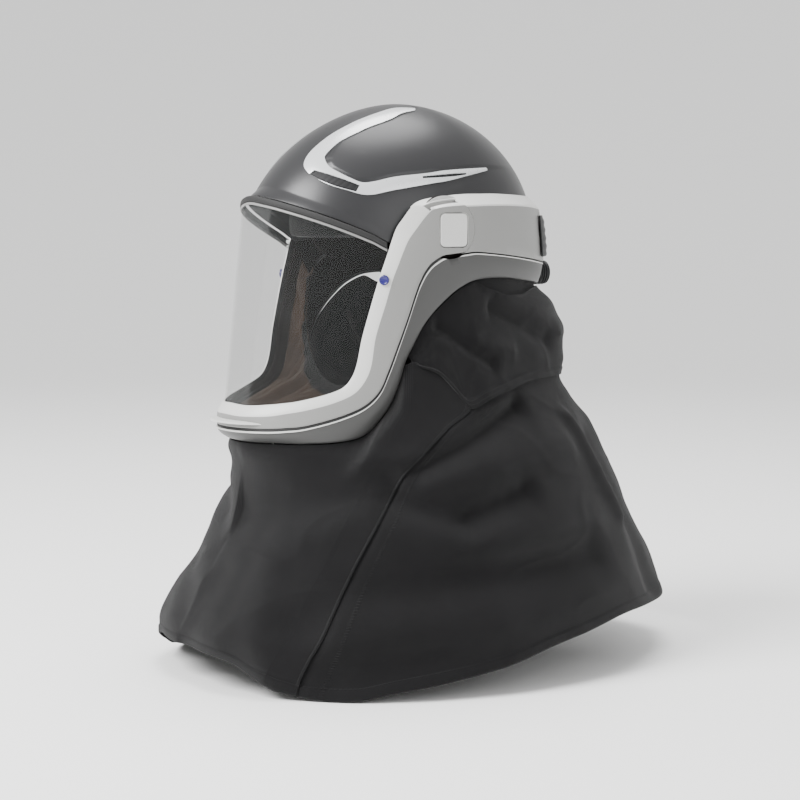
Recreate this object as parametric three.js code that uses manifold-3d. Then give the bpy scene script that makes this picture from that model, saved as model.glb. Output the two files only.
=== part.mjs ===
// Powered respirator helmet with a hinged visor and a cloth shroud. Millimetres, +Z up, the face towards -Y.
// The origin is where the crown straps rest on the head.
import * as THREE from "three";
import Module from "manifold-3d";

const solid = await Module();
solid.setup();

// Dome: the rim is an oval about the origin, the height runs from the rim level to the top.
const domeFront = 158;
const domeBack = 146;
const domeHalfWidth = 108;
const domeTop = 38;
const domeRim = -90;
const domePowerFront = 1.76; // below 2 the brow slopes away, above 2 the nape stands upright
const domePowerBack = 1.98;
const shellWall = 3;

// Frame: the face of the visor frame, rear band and lower frame is an oval that grows forward as it drops.
const frameHalfWidth = 119;
const frameHalfWidthLow = 113;
const frameFrontHigh = 163;
const frameFrontLow = 189;
const frameBackHigh = 151;
const frameBackLow = 158;
const chinDrop = 284.5;
const frameWall = 3.6;
const visorInset = 6.3;
const visorWall = 1.6;
const lipInset = 10.6;
const flareHeight = 9;
const sealHeight = 6;
const browEnd = 56.8; // turn where the brow strips end
const lipRise = 19.5; // the chin lip above the frame's lowest edge
const bandInset = 10.2;
const rimInset = 9.2;
const chinTuck = 9; // how far the lower frame draws back under the chin

// Hinge: the arms turn about an axis along X through this point.
const pivotY = -8;
const pivotDrop = 0.2935; // share of chinDrop, as in the frame's table
const pivotZ = -pivotDrop * chinDrop;
const armRadius = 27;
const bossRadius = 6;
const badgeY = pivotY + 4;
const badgeZ = pivotZ - 1;
const armDepth = 8.8;
const carrierX = frameHalfWidth - armDepth; // the swinging arms stay outside this, the fixed carrier inside
const wellInside = frameHalfWidth - 19; // cuts begin here and end clear of the helmet's side
const wellOutside = frameHalfWidth + 41;

// Rows of the frame's table, counted from the chin, where pieces begin and end.
const cheekRow = 11;
const bandFirstRow = 17;
const armFirstRow = 18;
const armLastRow = 21;
const gasketLastRow = 16;
const rimLastRow = 13;
const footLastRow = 10;
const sealLastRow = 12;

// Head suspension, and the oval of the face seal.
const sealHalfWidth = 78;
const sealHalfHeight = 78;
const sealMiddle = -160;
const sealY = -64;
const sealWall = 1.6;
const headHalfWidth = 81;
const headHalfLength = 100;
const headbandLow = -92;
const headbandHigh = -68;
const crownSag = 82;

// Coupling for the air hose at the nape.
const hoseCollar = 12.5;
const hoseBore = 10;
const inletLength = 20;
const inletZ = -130;

// Cloth: the shroud is laid out about its own upright axis, and its sizes are those of the hem.
const clothAxisY = 19;
const hemDrop = 510;
const hemFront = 260;
const hemHalfWidth = 215;
const hemBack = 278;
const clothWall = 2;

const degree = Math.PI / 180;
const mix = (a, b, t) => a + (b - a) * t;
const clamp = (v, low, high) => Math.min(high, Math.max(low, v));
const smooth = (t) => t * t * (3 - 2 * t);
const range = (n) => Array.from({ length: n }, (_, i) => i);

// Rows of a table, with the column names in its first line.
function table(names, rows) {
  const keys = names.split(" ");
  return rows.map((row) => Object.fromEntries(keys.map((key, i) => [key, row[i]])));
}

// A column of a table read at any place along another column, straight between rows.
function read(rows, along, column, at) {
  const up = rows[0][along] < rows[rows.length - 1][along] ? rows : [...rows].reverse();
  if (at <= up[0][along]) return up[0][column];
  for (let i = 1; i < up.length; i++)
    if (at <= up[i][along]) {
      const t = (at - up[i - 1][along]) / (up[i][along] - up[i - 1][along]);
      return mix(up[i - 1][column], up[i][column], t);
    }
  return up[up.length - 1][column];
}

// The frame's lines from the chin (first row) round to the nape (last row), as turns in degrees from the face
// and drops as shares of chinDrop: visor edge or band top, crease of the bevel, seam, and bottom edge.
const frameLines = table("edgeTurn edgeDrop creaseTurn creaseDrop seamTurn seamDrop footTurn footDrop", [
  [0, 0.873, 0, 0.909, 0, 0.954, 0, 1],
  [8, 0.876, 8, 0.911, 8, 0.954, 8, 1],
  [16, 0.87, 17, 0.907, 17, 0.953, 17, 0.998],
  [20.5, 0.864, 22.5, 0.897, 22.5, 0.948, 22, 0.997],
  [25, 0.856, 28.5, 0.885, 28.6, 0.94, 27, 0.996],
  [33.4, 0.835, 37, 0.861, 40, 0.908, 38, 0.991],
  [39.3, 0.812, 43.9, 0.832, 48.3, 0.874, 46.3, 0.973],
  [42.5, 0.78, 48, 0.791, 54, 0.827, 52.5, 0.928],
  [44.5, 0.734, 50.5, 0.738, 57.7, 0.763, 57.3, 0.879],
  [46.6, 0.645, 52.3, 0.644, 61.4, 0.687, 61.5, 0.812],
  [50.1, 0.541, 56.2, 0.54, 66.2, 0.588, 65.1, 0.73],
  [53.1, 0.459, 59.2, 0.459, 69.9, 0.505, 69.7, 0.665],
  [55.2, 0.411, 61.5, 0.411, 72.1, 0.464, 74, 0.612],
  [57.2, 0.366, 63.8, 0.366, 74.6, 0.431, 79, 0.569],
  [59, 0.323, 66.2, 0.326, 77.7, 0.406, 85, 0.531],
  [60.8, 0.289, 70.3, 0.285, 82.7, 0.385, 91, 0.499],
  [63.5, 0.26, 73.3, 0.257, 87, 0.38, 97, 0.478],
  [67.4, 0.222, 76.3, 0.234, 91, 0.377, 101, 0.467],
  [72, 0.202, 79, 0.227, 95, 0.374, 104, 0.463],
  [79, 0.191, 84, 0.22, 99.8, 0.37, 108, 0.46],
  [88, 0.183, 91, 0.217, 105, 0.372, 112, 0.459],
  [98, 0.178, 100, 0.214, 111, 0.376, 119, 0.459],
  [109, 0.177, 110, 0.212, 118, 0.381, 126, 0.462],
  [120, 0.176, 121, 0.212, 126, 0.387, 134, 0.469],
  [135, 0.179, 137, 0.215, 137.5, 0.397, 143, 0.476],
  [150, 0.183, 152, 0.223, 151, 0.408, 156, 0.485],
  [165, 0.186, 166, 0.228, 165.5, 0.415, 168, 0.49],
  [180, 0.188, 180, 0.23, 180, 0.417, 180, 0.492],
]);

// The line of the brow, where the dome's flared lip meets the visor's top edge.
const browLine = table("turn drop", [
  [0, 0.182],
  [10, 0.193],
  [20, 0.214],
  [30, 0.242],
  [40, 0.273],
  [50, 0.308],
  [60, 0.344],
  [66, 0.337],
  [74, 0.323],
  [180, 0.323],
]);

// Sides of the visor sheet, hidden under the frame: turn at each share of the way down.
const visorSides = table("down turn", [
  [0, 61],
  [0.21, 57],
  [0.38, 54],
  [0.58, 50.5],
  [0.76, 48],
  [0.88, 45.5],
  [1, 42.5],
]);

// Trim strip on the dome: outer and inner border as turn and share of the dome's height.
const stripLines = table("outerTurn outerRise innerTurn innerRise", [
  [99.6, 0.953, 93.6, 0.934],
  [70, 0.955, 70, 0.91],
  [50.8, 0.942, 54.9, 0.859],
  [37, 0.905, 41, 0.805],
  [26.8, 0.851, 33.8, 0.757],
  [21, 0.79, 29, 0.715],
  [17.2, 0.725, 25.8, 0.67],
  [14.6, 0.62, 23.7, 0.592],
  [15.3, 0.534, 25, 0.55],
  [18.7, 0.474, 28.5, 0.5],
  [24.5, 0.42, 33.5, 0.46],
  [31, 0.37, 39, 0.42],
  [38, 0.335, 44.5, 0.388],
  [47.7, 0.298, 50, 0.395],
  [60.6, 0.335, 60.6, 0.43],
  [79.4, 0.379, 79.4, 0.458],
  [91, 0.402, 90, 0.477],
  [105.5, 0.441, 107.1, 0.493],
  [122, 0.482, 122, 0.503],
]);

// Vent slots inside the strip, in the same terms.
const slotFrontLines = table("outerTurn outerRise innerTurn innerRise", [
  [21.5, 0.452, 23, 0.478],
  [28, 0.405, 30, 0.445],
  [35, 0.362, 37.5, 0.405],
  [43, 0.325, 44, 0.365],
]);
const slotRearLines = table("outerTurn outerRise innerTurn innerRise", [
  [76, 0.418, 76, 0.432],
  [86, 0.425, 86, 0.443],
  [96, 0.435, 96, 0.453],
  [104, 0.448, 104, 0.458],
]);

// Plan of the cloth at each drop: reaches as shares of the hem's sizes.
const drapeSections = table("drop front side back", [
  [0.255, 0.677, 0.502, 0.482],
  [0.275, 0.685, 0.512, 0.504],
  [0.304, 0.688, 0.516, 0.547],
  [0.333, 0.692, 0.521, 0.565],
  [0.373, 0.7, 0.535, 0.583],
  [0.418, 0.708, 0.553, 0.597],
  [0.455, 0.708, 0.572, 0.568],
  [0.492, 0.708, 0.6, 0.604],
  [0.559, 0.7, 0.688, 0.683],
  [0.618, 0.715, 0.744, 0.741],
  [0.667, 0.738, 0.786, 0.791],
  [0.741, 0.773, 0.851, 0.853],
  [0.775, 0.812, 0.874, 0.888],
  [0.824, 0.888, 0.907, 0.935],
  [0.873, 0.958, 0.94, 0.968],
  [0.912, 0.992, 0.963, 0.989],
  [0.951, 0.985, 0.981, 0.996],
  [1, 0.969, 1, 1],
]);

// Edges of the cloth panels, as turns about the cloth axis and drops as shares of hemDrop.
const neckLine = table("turn drop", [
  [60, 0.406],
  [65, 0.414],
  [71, 0.424],
  [79, 0.457],
  [86, 0.49],
  [96, 0.475],
  [111, 0.457],
  [123, 0.447],
  [140, 0.445],
  [180, 0.449],
]);
const hemLine = table("turn drop", [
  [0, 0.933],
  [10, 0.935],
  [18, 0.943],
  [24, 0.965],
  [30, 0.986],
  [37, 0.996],
  [42, 1],
  [47, 0.998],
  [56, 0.984],
  [69, 0.969],
  [87, 0.945],
  [99, 0.924],
  [113, 0.906],
  [130, 0.89],
  [158, 0.9],
  [180, 0.902],
]);
const panelSeam = table("turn drop", [
  [86, 0.49],
  [74, 0.527],
  [65, 0.567],
  [56, 0.62],
  [50, 0.696],
  [42, 0.808],
  [39, 0.884],
  [34, 0.992],
]);

// The collar's top edge sags away from the frame behind the ears: how far, as a share of hemDrop.
const collarSag = table("turn drop", [
  [92, 0],
  [101, 0.017],
  [112, 0.029],
  [123, 0.025],
  [136, 0.012],
  [150, 0.004],
  [180, 0.002],
]);

// Folds of the cloth: a line from one place to another, how broad it is and how far it stands out,
// as shares of hemHalfWidth. A minus sign is a hollow.
const folds = table("fromTurn fromDrop toTurn toDrop breadth height", [
  [4, 0.578, 61, 0.58, 0.047, 0.019],
  [4, 0.69, 51, 0.627, 0.102, -0.042],
  [3, 0.778, 47, 0.684, 0.093, 0.028],
  [34, 0.873, 42, 0.814, 0.102, -0.033],
  [4, 0.806, 3, 0.922, 0.084, -0.028],
  [22, 0.784, 28, 0.98, 0.074, 0.023],
  [63, 0.6, 110, 0.5, 0.051, -0.047],
  [66, 0.616, 125, 0.575, 0.074, 0.028],
  [55, 0.649, 77, 0.694, 0.065, -0.033],
  [77, 0.694, 100, 0.645, 0.065, -0.037],
  [56, 0.71, 125, 0.729, 0.093, 0.028],
  [52, 0.81, 121, 0.763, 0.093, -0.042],
  [60, 0.882, 130, 0.843, 0.102, 0.023],
  [43, 0.961, 66, 0.914, 0.093, -0.037],
  [136, 0.529, 142, 0.716, 0.047, 0.033],
  [150, 0.588, 148, 0.863, 0.084, -0.033],
  [166, 0.549, 172, 0.882, 0.084, 0.028],
  [104, 0.31, 140, 0.376, 0.051, -0.033],
  [72, 0.345, 100, 0.416, 0.033, -0.023],
  [92, 0.373, 112, 0.392, 0.047, 0.019],
  [150, 0.363, 176, 0.349, 0.047, 0.019],
  [160, 0.422, 180, 0.402, 0.042, -0.019],
]);

// Surfaces.

function domeReach(turn, z, out = 0) {
  const rise = clamp((z - domeRim) / (domeTop + out - domeRim), 0, 1);
  const c = Math.cos(turn * degree);
  const power = mix(domePowerFront, domePowerBack, (1 - c) / 2);
  const along = c / ((c > 0 ? domeFront : domeBack) + out);
  const across = Math.sin(turn * degree) / (domeHalfWidth + out);
  return (1 - rise ** power) ** (1 / power) / Math.hypot(across, along);
}

function frameReach(turn, z) {
  const c = Math.cos(turn * degree);
  const front = mix(frameFrontHigh, frameFrontLow, clamp((-z - 50) / 220, 0, 1.1));
  const back = mix(frameBackHigh, frameBackLow, clamp((-z - 60) / 50, 0, 1));
  const half = mix(frameHalfWidth, frameHalfWidthLow, clamp((-z - 100) / 165, 0, 1.1));
  return 1 / Math.hypot(Math.sin(turn * degree) / half, c / (c > 0 ? front : back));
}

// The shell keeps clear of the visor, which swings past it.
function shellReach(turn, z, out = 0) {
  return Math.min(domeReach(turn, z, out), frameReach(turn, z) - lipInset + out);
}

const round = (turn, reach, z, axisY = 0) =>
  new THREE.Vector3(reach * Math.sin(turn * degree), axisY - reach * Math.cos(turn * degree), z);
const onFrame = ([turn, z], inset) => round(turn, frameReach(turn, z) - inset, z);
const onDome = ([turn, rise], out) => {
  const z = domeRim + rise * (domeTop + out - domeRim);
  return round(turn, shellReach(turn, z, out), z);
};

function clothReach(turn, z) {
  const drop = -z / hemDrop;
  const c = Math.cos(turn * degree);
  const share = (column) => read(drapeSections, "drop", column, drop);
  const end = c > 0 ? hemFront * share("front") : hemBack * share("back");
  return 1 / Math.hypot(Math.sin(turn * degree) / (hemHalfWidth * share("side")), c / end);
}

// How far the folds push the cloth out at one place. On the right side they lie a little differently.
function foldHeight(turn, z) {
  const lean = turn < 0 ? 9 : 0;
  const perDegree = 0.8 * hemHalfWidth * degree;
  const place = new THREE.Vector2(Math.abs(turn) * perDegree, -z);
  let out = 0;
  for (const f of folds) {
    const from = new THREE.Vector2((f.fromTurn + lean) * perDegree, f.fromDrop * hemDrop);
    const run = new THREE.Vector2((f.toTurn - lean) * perDegree, f.toDrop * hemDrop).sub(from);
    const t = clamp(place.clone().sub(from).dot(run) / run.lengthSq(), 0, 1);
    const away = place.distanceTo(run.multiplyScalar(t).add(from)) / (f.breadth * hemHalfWidth);
    out += f.height * hemHalfWidth * Math.exp(-away * away);
  }
  return out;
}
const onCloth = (turn, z, inset = 0) =>
  round(turn, clothReach(turn, z) + foldHeight(turn, z) - inset, z, clothAxisY);

// Solids.

// A closed wall between two grids of points of one size; a ring joins its last column to its first.
function wall(outer, inner, ring = false) {
  const columns = outer.length;
  const rows = outer[0].length;
  const at = (i, j, side) => (i % columns) * rows + j + side * columns * rows;
  const faces = [];
  const quad = (a, b, c, d) => faces.push([a, b, c], [a, c, d]);
  for (let i = 0; i < columns - (ring ? 0 : 1); i++) {
    for (let j = 0; j < rows - 1; j++) {
      quad(at(i, j, 0), at(i, j + 1, 0), at(i + 1, j + 1, 0), at(i + 1, j, 0));
      quad(at(i, j, 1), at(i + 1, j, 1), at(i + 1, j + 1, 1), at(i, j + 1, 1));
    }
    quad(at(i, 0, 0), at(i + 1, 0, 0), at(i + 1, 0, 1), at(i, 0, 1));
    quad(at(i, rows - 1, 0), at(i, rows - 1, 1), at(i + 1, rows - 1, 1), at(i + 1, rows - 1, 0));
  }
  for (let j = 0; !ring && j < rows - 1; j++) {
    quad(at(0, j, 0), at(0, j, 1), at(0, j + 1, 1), at(0, j + 1, 0));
    quad(at(columns - 1, j, 0), at(columns - 1, j + 1, 0), at(columns - 1, j + 1, 1), at(columns - 1, j, 1));
  }
  return fromFaces([...outer.flat(), ...inner.flat()], faces);
}

// A grid of points moved along its own normals.
function offset(grid, by) {
  const pick = (i, j) => grid[clamp(i, 0, grid.length - 1)][clamp(j, 0, grid[0].length - 1)];
  return grid.map((column, i) => column.map((p, j) => {
    const along = pick(i + 1, j).clone().sub(pick(i - 1, j));
    return p.clone().addScaledVector(pick(i, j + 1).clone().sub(pick(i, j - 1)).cross(along).normalize(), by);
  }));
}

// A solid from points and faces; points that fall together become one, and faces without area go.
function fromFaces(points, faces) {
  const seen = new Map();
  const kept = [];
  const index = points.map((p) => {
    const key = p.toArray().map((v) => Math.round(v * 500)).join();
    if (!seen.has(key)) seen.set(key, kept.push(p) - 1);
    return seen.get(key);
  });
  const real = faces.map((f) => f.map((i) => index[i])).filter(([a, b, c]) => a !== b && b !== c && c !== a);
  const vertProperties = new Float32Array(kept.flatMap((p) => p.toArray()));
  const make = (list) =>
    new solid.Manifold(new solid.Mesh({ numProp: 3, vertProperties, triVerts: new Uint32Array(list.flat()) }));
  const made = make(real);
  return made.volume() > 0 ? made : make(real.map(([a, b, c]) => [a, c, b]));
}

// An outline in Y and Z pulled along X between two places, on the left of the helmet or on its right.
function prism(outline, from, to, side = 1) {
  const flat = new solid.CrossSection([outline]).extrude(to - from);
  const plate = flat.rotate([90, 0, 90]).translate([from, 0, 0]);
  return side > 0 ? plate : plate.mirror([1, 0, 0]);
}
const disc = (y, z, radius, count = 36) =>
  range(count).map((i) => {
    const angle = (i / count) * 360 * degree;
    return [y + radius * Math.cos(angle), z + radius * Math.sin(angle)];
  });

// A square with rounded corners about the middle of the badge.
function badge(halfWide, halfHigh, corner) {
  const outline = [];
  for (const [sy, sz, start] of [[1, 1, 0], [-1, 1, 90], [-1, -1, 180], [1, -1, 270]])
    for (let a = start; a <= start + 90; a += 22.5)
      outline.push([
        badgeY + sy * (halfWide - corner) + corner * Math.cos(a * degree),
        badgeZ + sz * (halfHigh - corner) + corner * Math.sin(a * degree),
      ]);
  return outline;
}

// The space beside the helmet where an arm lies or swings: a disc about the pivot and a fan ahead of it.
function armSpace(radius, fanTop, from, to, side) {
  const fan = [[pivotY, pivotZ]];
  for (const a of [...range(18).map((i) => -106 + i * 12).filter((v) => v < fanTop), fanTop])
    fan.push([pivotY - 300 * Math.cos(a * degree), pivotZ + 300 * Math.sin(a * degree)]);
  return prism(disc(pivotY, pivotZ, radius), from, to, side).add(prism(fan.reverse(), from, to, side));
}

const group = new THREE.Group();
function add(name, made, { color, roughness, metalness = 0, opacity = 1 }) {
  const mesh = made.getMesh();
  const geometry = new THREE.BufferGeometry();
  geometry.setAttribute("position", new THREE.BufferAttribute(new Float32Array(mesh.vertProperties), 3));
  geometry.setIndex(new THREE.BufferAttribute(new Uint32Array(mesh.triVerts), 1));
  const flat = geometry.toNonIndexed();
  flat.computeVertexNormals();
  const transparent = opacity < 1;
  const material = new THREE.MeshStandardMaterial({ color, roughness, metalness, opacity, transparent });
  const node = new THREE.Mesh(flat, material);
  node.name = name;
  group.add(node);
}
const graphite = { color: 0x4a4a4d, roughness: 0.45, metalness: 0.1 };
const silver = { color: 0xc9cbcd, roughness: 0.35, metalness: 0.2 };
const pale = { color: 0xdcdcda, roughness: 0.5 };
const grey = { color: 0x9b9b9a, roughness: 0.5 };
const black = { color: 0x151515, roughness: 0.6 };
const clear = { color: 0xeef2f4, roughness: 0.08, opacity: 0.25 };
const blue = { color: 0x2a2a8c, roughness: 0.4 };
const cloth = { color: 0x18181a, roughness: 0.9 };
const lining = { color: 0x2a1c16, roughness: 0.8 };
const sides = [[1, "left"], [-1, "right"]];

// Stations round the frame: each has a place, a turn and a height, on all four of the frame's lines.
const chinLevel = (drop) => -drop * chinDrop;
const browLevel = (turn) => chinLevel(read(browLine, "turn", "drop", Math.abs(turn)));
const station = (row, side) => ({
  edge: [side * row.edgeTurn, chinLevel(row.edgeDrop)],
  crease: [side * row.creaseTurn, chinLevel(row.creaseDrop)],
  seam: [side * row.seamTurn, chinLevel(row.seamDrop)],
  foot: [side * row.footTurn, chinLevel(row.footDrop)],
});
const between = (a, b, t) => [mix(a[0], b[0], t), mix(a[1], b[1], t)];
const shifted = (a, towards, length) =>
  between(a, towards, length / onFrame(a, 0).distanceTo(onFrame(towards, 0)));
const nape = frameLines.length - 1;
// The station at a row number of the table, where 12.5 lies midway between two rows.
function stationAt(row, side) {
  const low = station(frameLines[Math.floor(row)], side);
  const high = station(frameLines[Math.ceil(row)], side);
  return Object.fromEntries(Object.keys(low).map((line) => [line, between(low[line], high[line], row % 1)]));
}
// Row numbers from the right side, where they are minus, past the chin to the same row on the left, with
// half rows near the chin, where the frame turns tightly.
function chinRows(last) {
  const left = [...range(11).map((i) => (i + 1) / 2), ...range(last - 5).map((i) => i + 6)];
  return [...[...left].reverse().map((row) => -row), 0, ...left];
}
const chinTuckAt = (turn) => chinTuck * smooth(clamp(1 - Math.abs(turn) / 36, 0, 1));
const acrossChin = (last) => chinRows(last).map((row) => stationAt(Math.abs(row), row < 0 ? -1 : 1));
// From a row on the left side, past the nape, to the same row on the right, in half rows.
const acrossNape = (first) => range(4 * (nape - first) + 1).map((i) => {
  const row = first + i / 2;
  if (row <= nape) return stationAt(row, 1);
  const right = stationAt(2 * nape - row, -1);
  for (const line in right) right[line][0] += 360;
  return right;
});

// Shell.
{
  const turns = range(36).map((i) => (i - 18) * 10);
  const rises = range(8).map((k) => 1 - (1 - k / 7) ** 1.5);
  const column = (turn, inset) => {
    const rim = browLevel(turn);
    const flared = frameReach(turn, rim) - lipInset;
    const lip = Math.abs(turn) < 60 ? flared : shellReach(turn, rim);
    const start = clamp((rim + flareHeight - domeRim) / (domeTop - domeRim), 0, 1);
    const waist = shellReach(turn, rim + flareHeight);
    return [
      round(turn, lip - inset, rim),
      round(turn, mix(waist, lip, 0.45) - inset, rim + flareHeight * 0.4),
      ...rises.map((k) => onDome([turn, mix(start, 1, k)], -inset)),
    ];
  };
  add("shell", wall(turns.map((t) => column(t, 0)), turns.map((t) => column(t, shellWall)), true), graphite);
}

// Trim strips, each with two vent slots let into it.
function domePatch(lines, side, low, high, across) {
  const layer = (out) =>
    lines.map((row) => {
      const ends = [[side * row.outerTurn, row.outerRise], [side * row.innerTurn, row.innerRise]];
      return range(across + 1).map((k) => onDome(between(...ends, k / across), out));
    });
  return wall(layer(high), layer(low));
}
function grown(lines, by) {
  return lines.map((row, i) => {
    const end = i === 0 ? -by * 60 : i === lines.length - 1 ? by * 60 : 0;
    return {
      outerTurn: row.outerTurn + end,
      outerRise: row.outerRise - by,
      innerTurn: row.innerTurn + end,
      innerRise: row.innerRise + by,
    };
  });
}
for (const [side, word] of sides) {
  let strip = domePatch(stripLines, side, 0.7, 2, 3);
  for (const slot of [slotFrontLines, slotRearLines])
    strip = strip.subtract(domePatch(grown(slot, 0.005), side, -1, 4, 1));
  add(`accent_${word}`, strip, silver);
  add(`vent_front_${word}`, domePatch(slotFrontLines, side, 0.5, 1.3, 1), black);
  add(`vent_rear_${word}`, domePatch(slotRearLines, side, 0.5, 1.3, 1), black);
}

// Rear band: its top edge meets the dome, and it runs forward under the arms as a thin carrier with a boss.
{
  const run = acrossNape(bandFirstRow);
  const section = ({ edge, crease, seam }, layer) => {
    const lower = layer ? 2 : 0;
    const top = round(edge[0], shellReach(edge[0], edge[1] - lower) + 1 - lower * 0.2, edge[1] - lower);
    const inset = layer ? mix(bandInset, 8.2, smooth(clamp((Math.abs(180 - seam[0]) - 76) / -10, 0, 1))) : 0;
    return [
      top,
      onFrame(shifted(crease, seam, lower), inset),
      onFrame(between(crease, seam, 0.5), inset),
      onFrame(shifted(seam, crease, 0.4), layer ? 5.5 : 0.4),
    ];
  };
  let band = wall(run.map((s) => section(s, 0)), run.map((s) => section(s, 1)));
  for (const [side] of sides) {
    const swung = armSpace(armRadius + 0.5, 112, carrierX, wellOutside, side);
    const seat = prism(disc(pivotY, pivotZ, armRadius - 2), wellInside, carrierX + 1.3, side);
    band = band.subtract(swung.subtract(seat));
    band = band.add(prism(disc(pivotY, pivotZ, bossRadius, 24), carrierX - 0.5, frameHalfWidth - 2.1, side));
  }
  add("rear_band", band, pale);
}

// Lower frame from chin to nape, the seal line above it, and the dark rim behind the visor frame.
{
  const run = [...acrossChin(bandFirstRow), ...acrossNape(bandFirstRow).slice(1, -1)];
  const layer = (high, middle, low) => run.map(({ seam, foot }) => {
    const tuck = chinTuckAt(foot[0]);
    return [
      onFrame(shifted(seam, foot, 1.5), high),
      onFrame(between(seam, foot, 0.5), middle + tuck * 0.5),
      onFrame(foot, low + tuck),
    ];
  });
  const outer = layer(0.6, 1.4, 6.5);
  const inner = layer(8.6, 8.6, 9.6);
  const clearOfArms = (made) =>
    sides.reduce((rest, [side]) => {
      const arm = prism(disc(pivotY, pivotZ, armRadius + 0.5), carrierX, wellOutside, side);
      return rest.subtract(arm);
    }, made);
  add("lower_frame", clearOfArms(wall(outer, inner, true)), grey);

  const line = (inset) => acrossChin(gasketLastRow).map(({ crease, seam, foot }) => [
    onFrame(shifted(seam, crease, 1), inset),
    onFrame(shifted(seam, foot, 1), inset),
  ]);
  add("frame_gasket", clearOfArms(wall(line(0.9), line(4.2))), black);

  const rim = (inset) => acrossChin(rimLastRow).map(({ edge, crease, seam, foot }) => [
    onFrame(between(edge, crease, 0.3), inset),
    onFrame(crease, inset),
    onFrame(shifted(seam, crease, 1), inset),
  ]);
  add("inner_rim", wall(rim(rimInset), rim(rimInset + 2)), lining);
}

// Face seal: cloth from the dark rim inward to an oval round the face.
{
  const rows = chinRows(sealLastRow);
  const sheet = acrossChin(sealLastRow).map(({ crease }, k) => {
    const angle = (rows[k] / sealLastRow) * 118 * degree;
    const start = onFrame(crease, rimInset + 3.4);
    const end = new THREE.Vector3(
      sealHalfWidth * Math.sin(angle),
      sealY + 6 * (1 - Math.cos(angle)),
      sealMiddle - sealHalfHeight * Math.cos(angle),
    );
    return range(4).map((j) => {
      const v = j / 3;
      const belly = Math.sin(Math.PI * v);
      const ripple = 2.5 * belly * Math.sin(rows[k] * 1.9);
      return start.clone().lerp(end, v).add(new THREE.Vector3(0, ripple, -9 * belly - ripple));
    });
  });
  add("face_seal", wall(sheet, offset(sheet, sealWall)), cloth);
}

// Visor frame: a bevelled U whose arms end in discs about the pivots, with a finger lip at the chin.
{
  const run = acrossChin(armLastRow);
  const section = ({ edge, crease, seam }, row, layer) => {
    const arm = Math.abs(row) >= armFirstRow;
    const border = arm ? shifted(crease, edge, 2.7) : edge;
    const under = clamp((-edge[1] - 63) / 30, 0, 1);
    const deep = mix(frameWall, visorInset - 0.7, arm ? 0 : under);
    const insets = layer ? [deep, deep, mix(deep, frameWall, 0.6), frameWall] : [deep - 0.7, 0, 0, 0.3];
    const line = [border, crease, between(crease, seam, 0.5), shifted(seam, crease, 1.4)];
    return line.map((place, k) => onFrame(place, insets[k]));
  };
  const rowNumbers = chinRows(armLastRow);
  const skin = (layer) => run.map((s, k) => section(s, rowNumbers[k], layer));
  let frame = wall(skin(0), skin(1));
  const cheek = station(frameLines[cheekRow], 1);
  const home = between(cheek.edge, cheek.crease, 0.42);
  const lip = lipRise - chinDrop;
  const jut = (lower) => range(13).map((i) => {
    const turn = (i - 6) * 2.5;
    const fade = 1 - Math.abs((i - 6) / 6) ** 3;
    return [onFrame([turn, lip - lower], 2.6), onFrame([turn, lip - 1.5 - lower], 2.4 - 7 * fade)];
  });
  frame = frame.add(wall(jut(0), jut(2.4)));
  for (const [side, word] of sides) {
    const ahead = prism([[-300, -400], [pivotY, -400], [pivotY, pivotZ], [-300, pivotZ]], 0, wellOutside, side);
    const kept = armSpace(armRadius, 38, 0, wellOutside, side).add(ahead);
    const all = prism([[-300, -400], [300, -400], [300, 100], [-300, 100]], 0.001, wellOutside, side);
    frame = frame.subtract(all.subtract(kept));
    frame = frame.subtract(prism(disc(pivotY, pivotZ, bossRadius + 0.4, 24), wellInside, wellOutside, side));
    frame = frame.subtract(prism(badge(15.4, 16.4, 5.4), frameHalfWidth - 1.8, wellOutside, side));
    add(`badge_${word}`, prism(badge(15, 16, 5), frameHalfWidth - 1.5, frameHalfWidth - 0.4, side), silver);

    const seat = onFrame([side * home[0], home[1]], 3.2);
    const outward = onFrame([side * (home[0] - 5), home[1]], 0);
    outward.sub(round(side * (home[0] + 10), 20, home[1])).setZ(0).normalize();
    const turn = new THREE.Quaternion().setFromUnitVectors(new THREE.Vector3(0, 0, 1), outward);
    const place = new THREE.Matrix4().compose(seat, turn, new THREE.Vector3(1, 1, 1));
    const rod = (radius, from, to) =>
      solid.Manifold.cylinder(to - from, radius, radius, 20).translate([0, 0, from]).transform(place.elements);
    frame = frame.subtract(rod(5.1, -1.5, 9));
    add(`peg_${word}`, rod(4.7, -1.2, 2.2), blue);
  }
  add("visor_frame", frame, pale);
}

// Visor sheet, the dark strip along its top edge, and the pale line in front of it.
{
  const sheet = (inset) => range(19).map((i) => range(7).map((j) => {
    const u = (i - 9) / 9;
    const down = j / 6;
    const turn = u * read(visorSides, "down", "turn", down);
    const top = browLevel(turn) - sealHeight - 0.8;
    return onFrame([turn, mix(top, chinLevel(0.9) + 12 * Math.abs(u) ** 3, down)], inset);
  }));
  add("visor", wall(sheet(visorInset), sheet(visorInset + visorWall)), clear);

  const strip = (high, low, insetHigh, insetLow) => range(25).map((i) => {
    const turn = (i - 12) * (browEnd / 12);
    const brow = browLevel(turn);
    return [onFrame([turn, brow - high], insetHigh), onFrame([turn, brow - low], insetLow)];
  });
  const deep = visorInset + visorWall;
  add("brow_seal", wall(strip(0.4, sealHeight, 5, 4.4), strip(0.4, sealHeight, deep, deep)), black);
  const bead = [sealHeight + 0.3, sealHeight + 2.8];
  add("visor_bead", wall(strip(...bead, 4.8, 5.1), strip(...bead, 6, 6)), pale);
}

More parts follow.
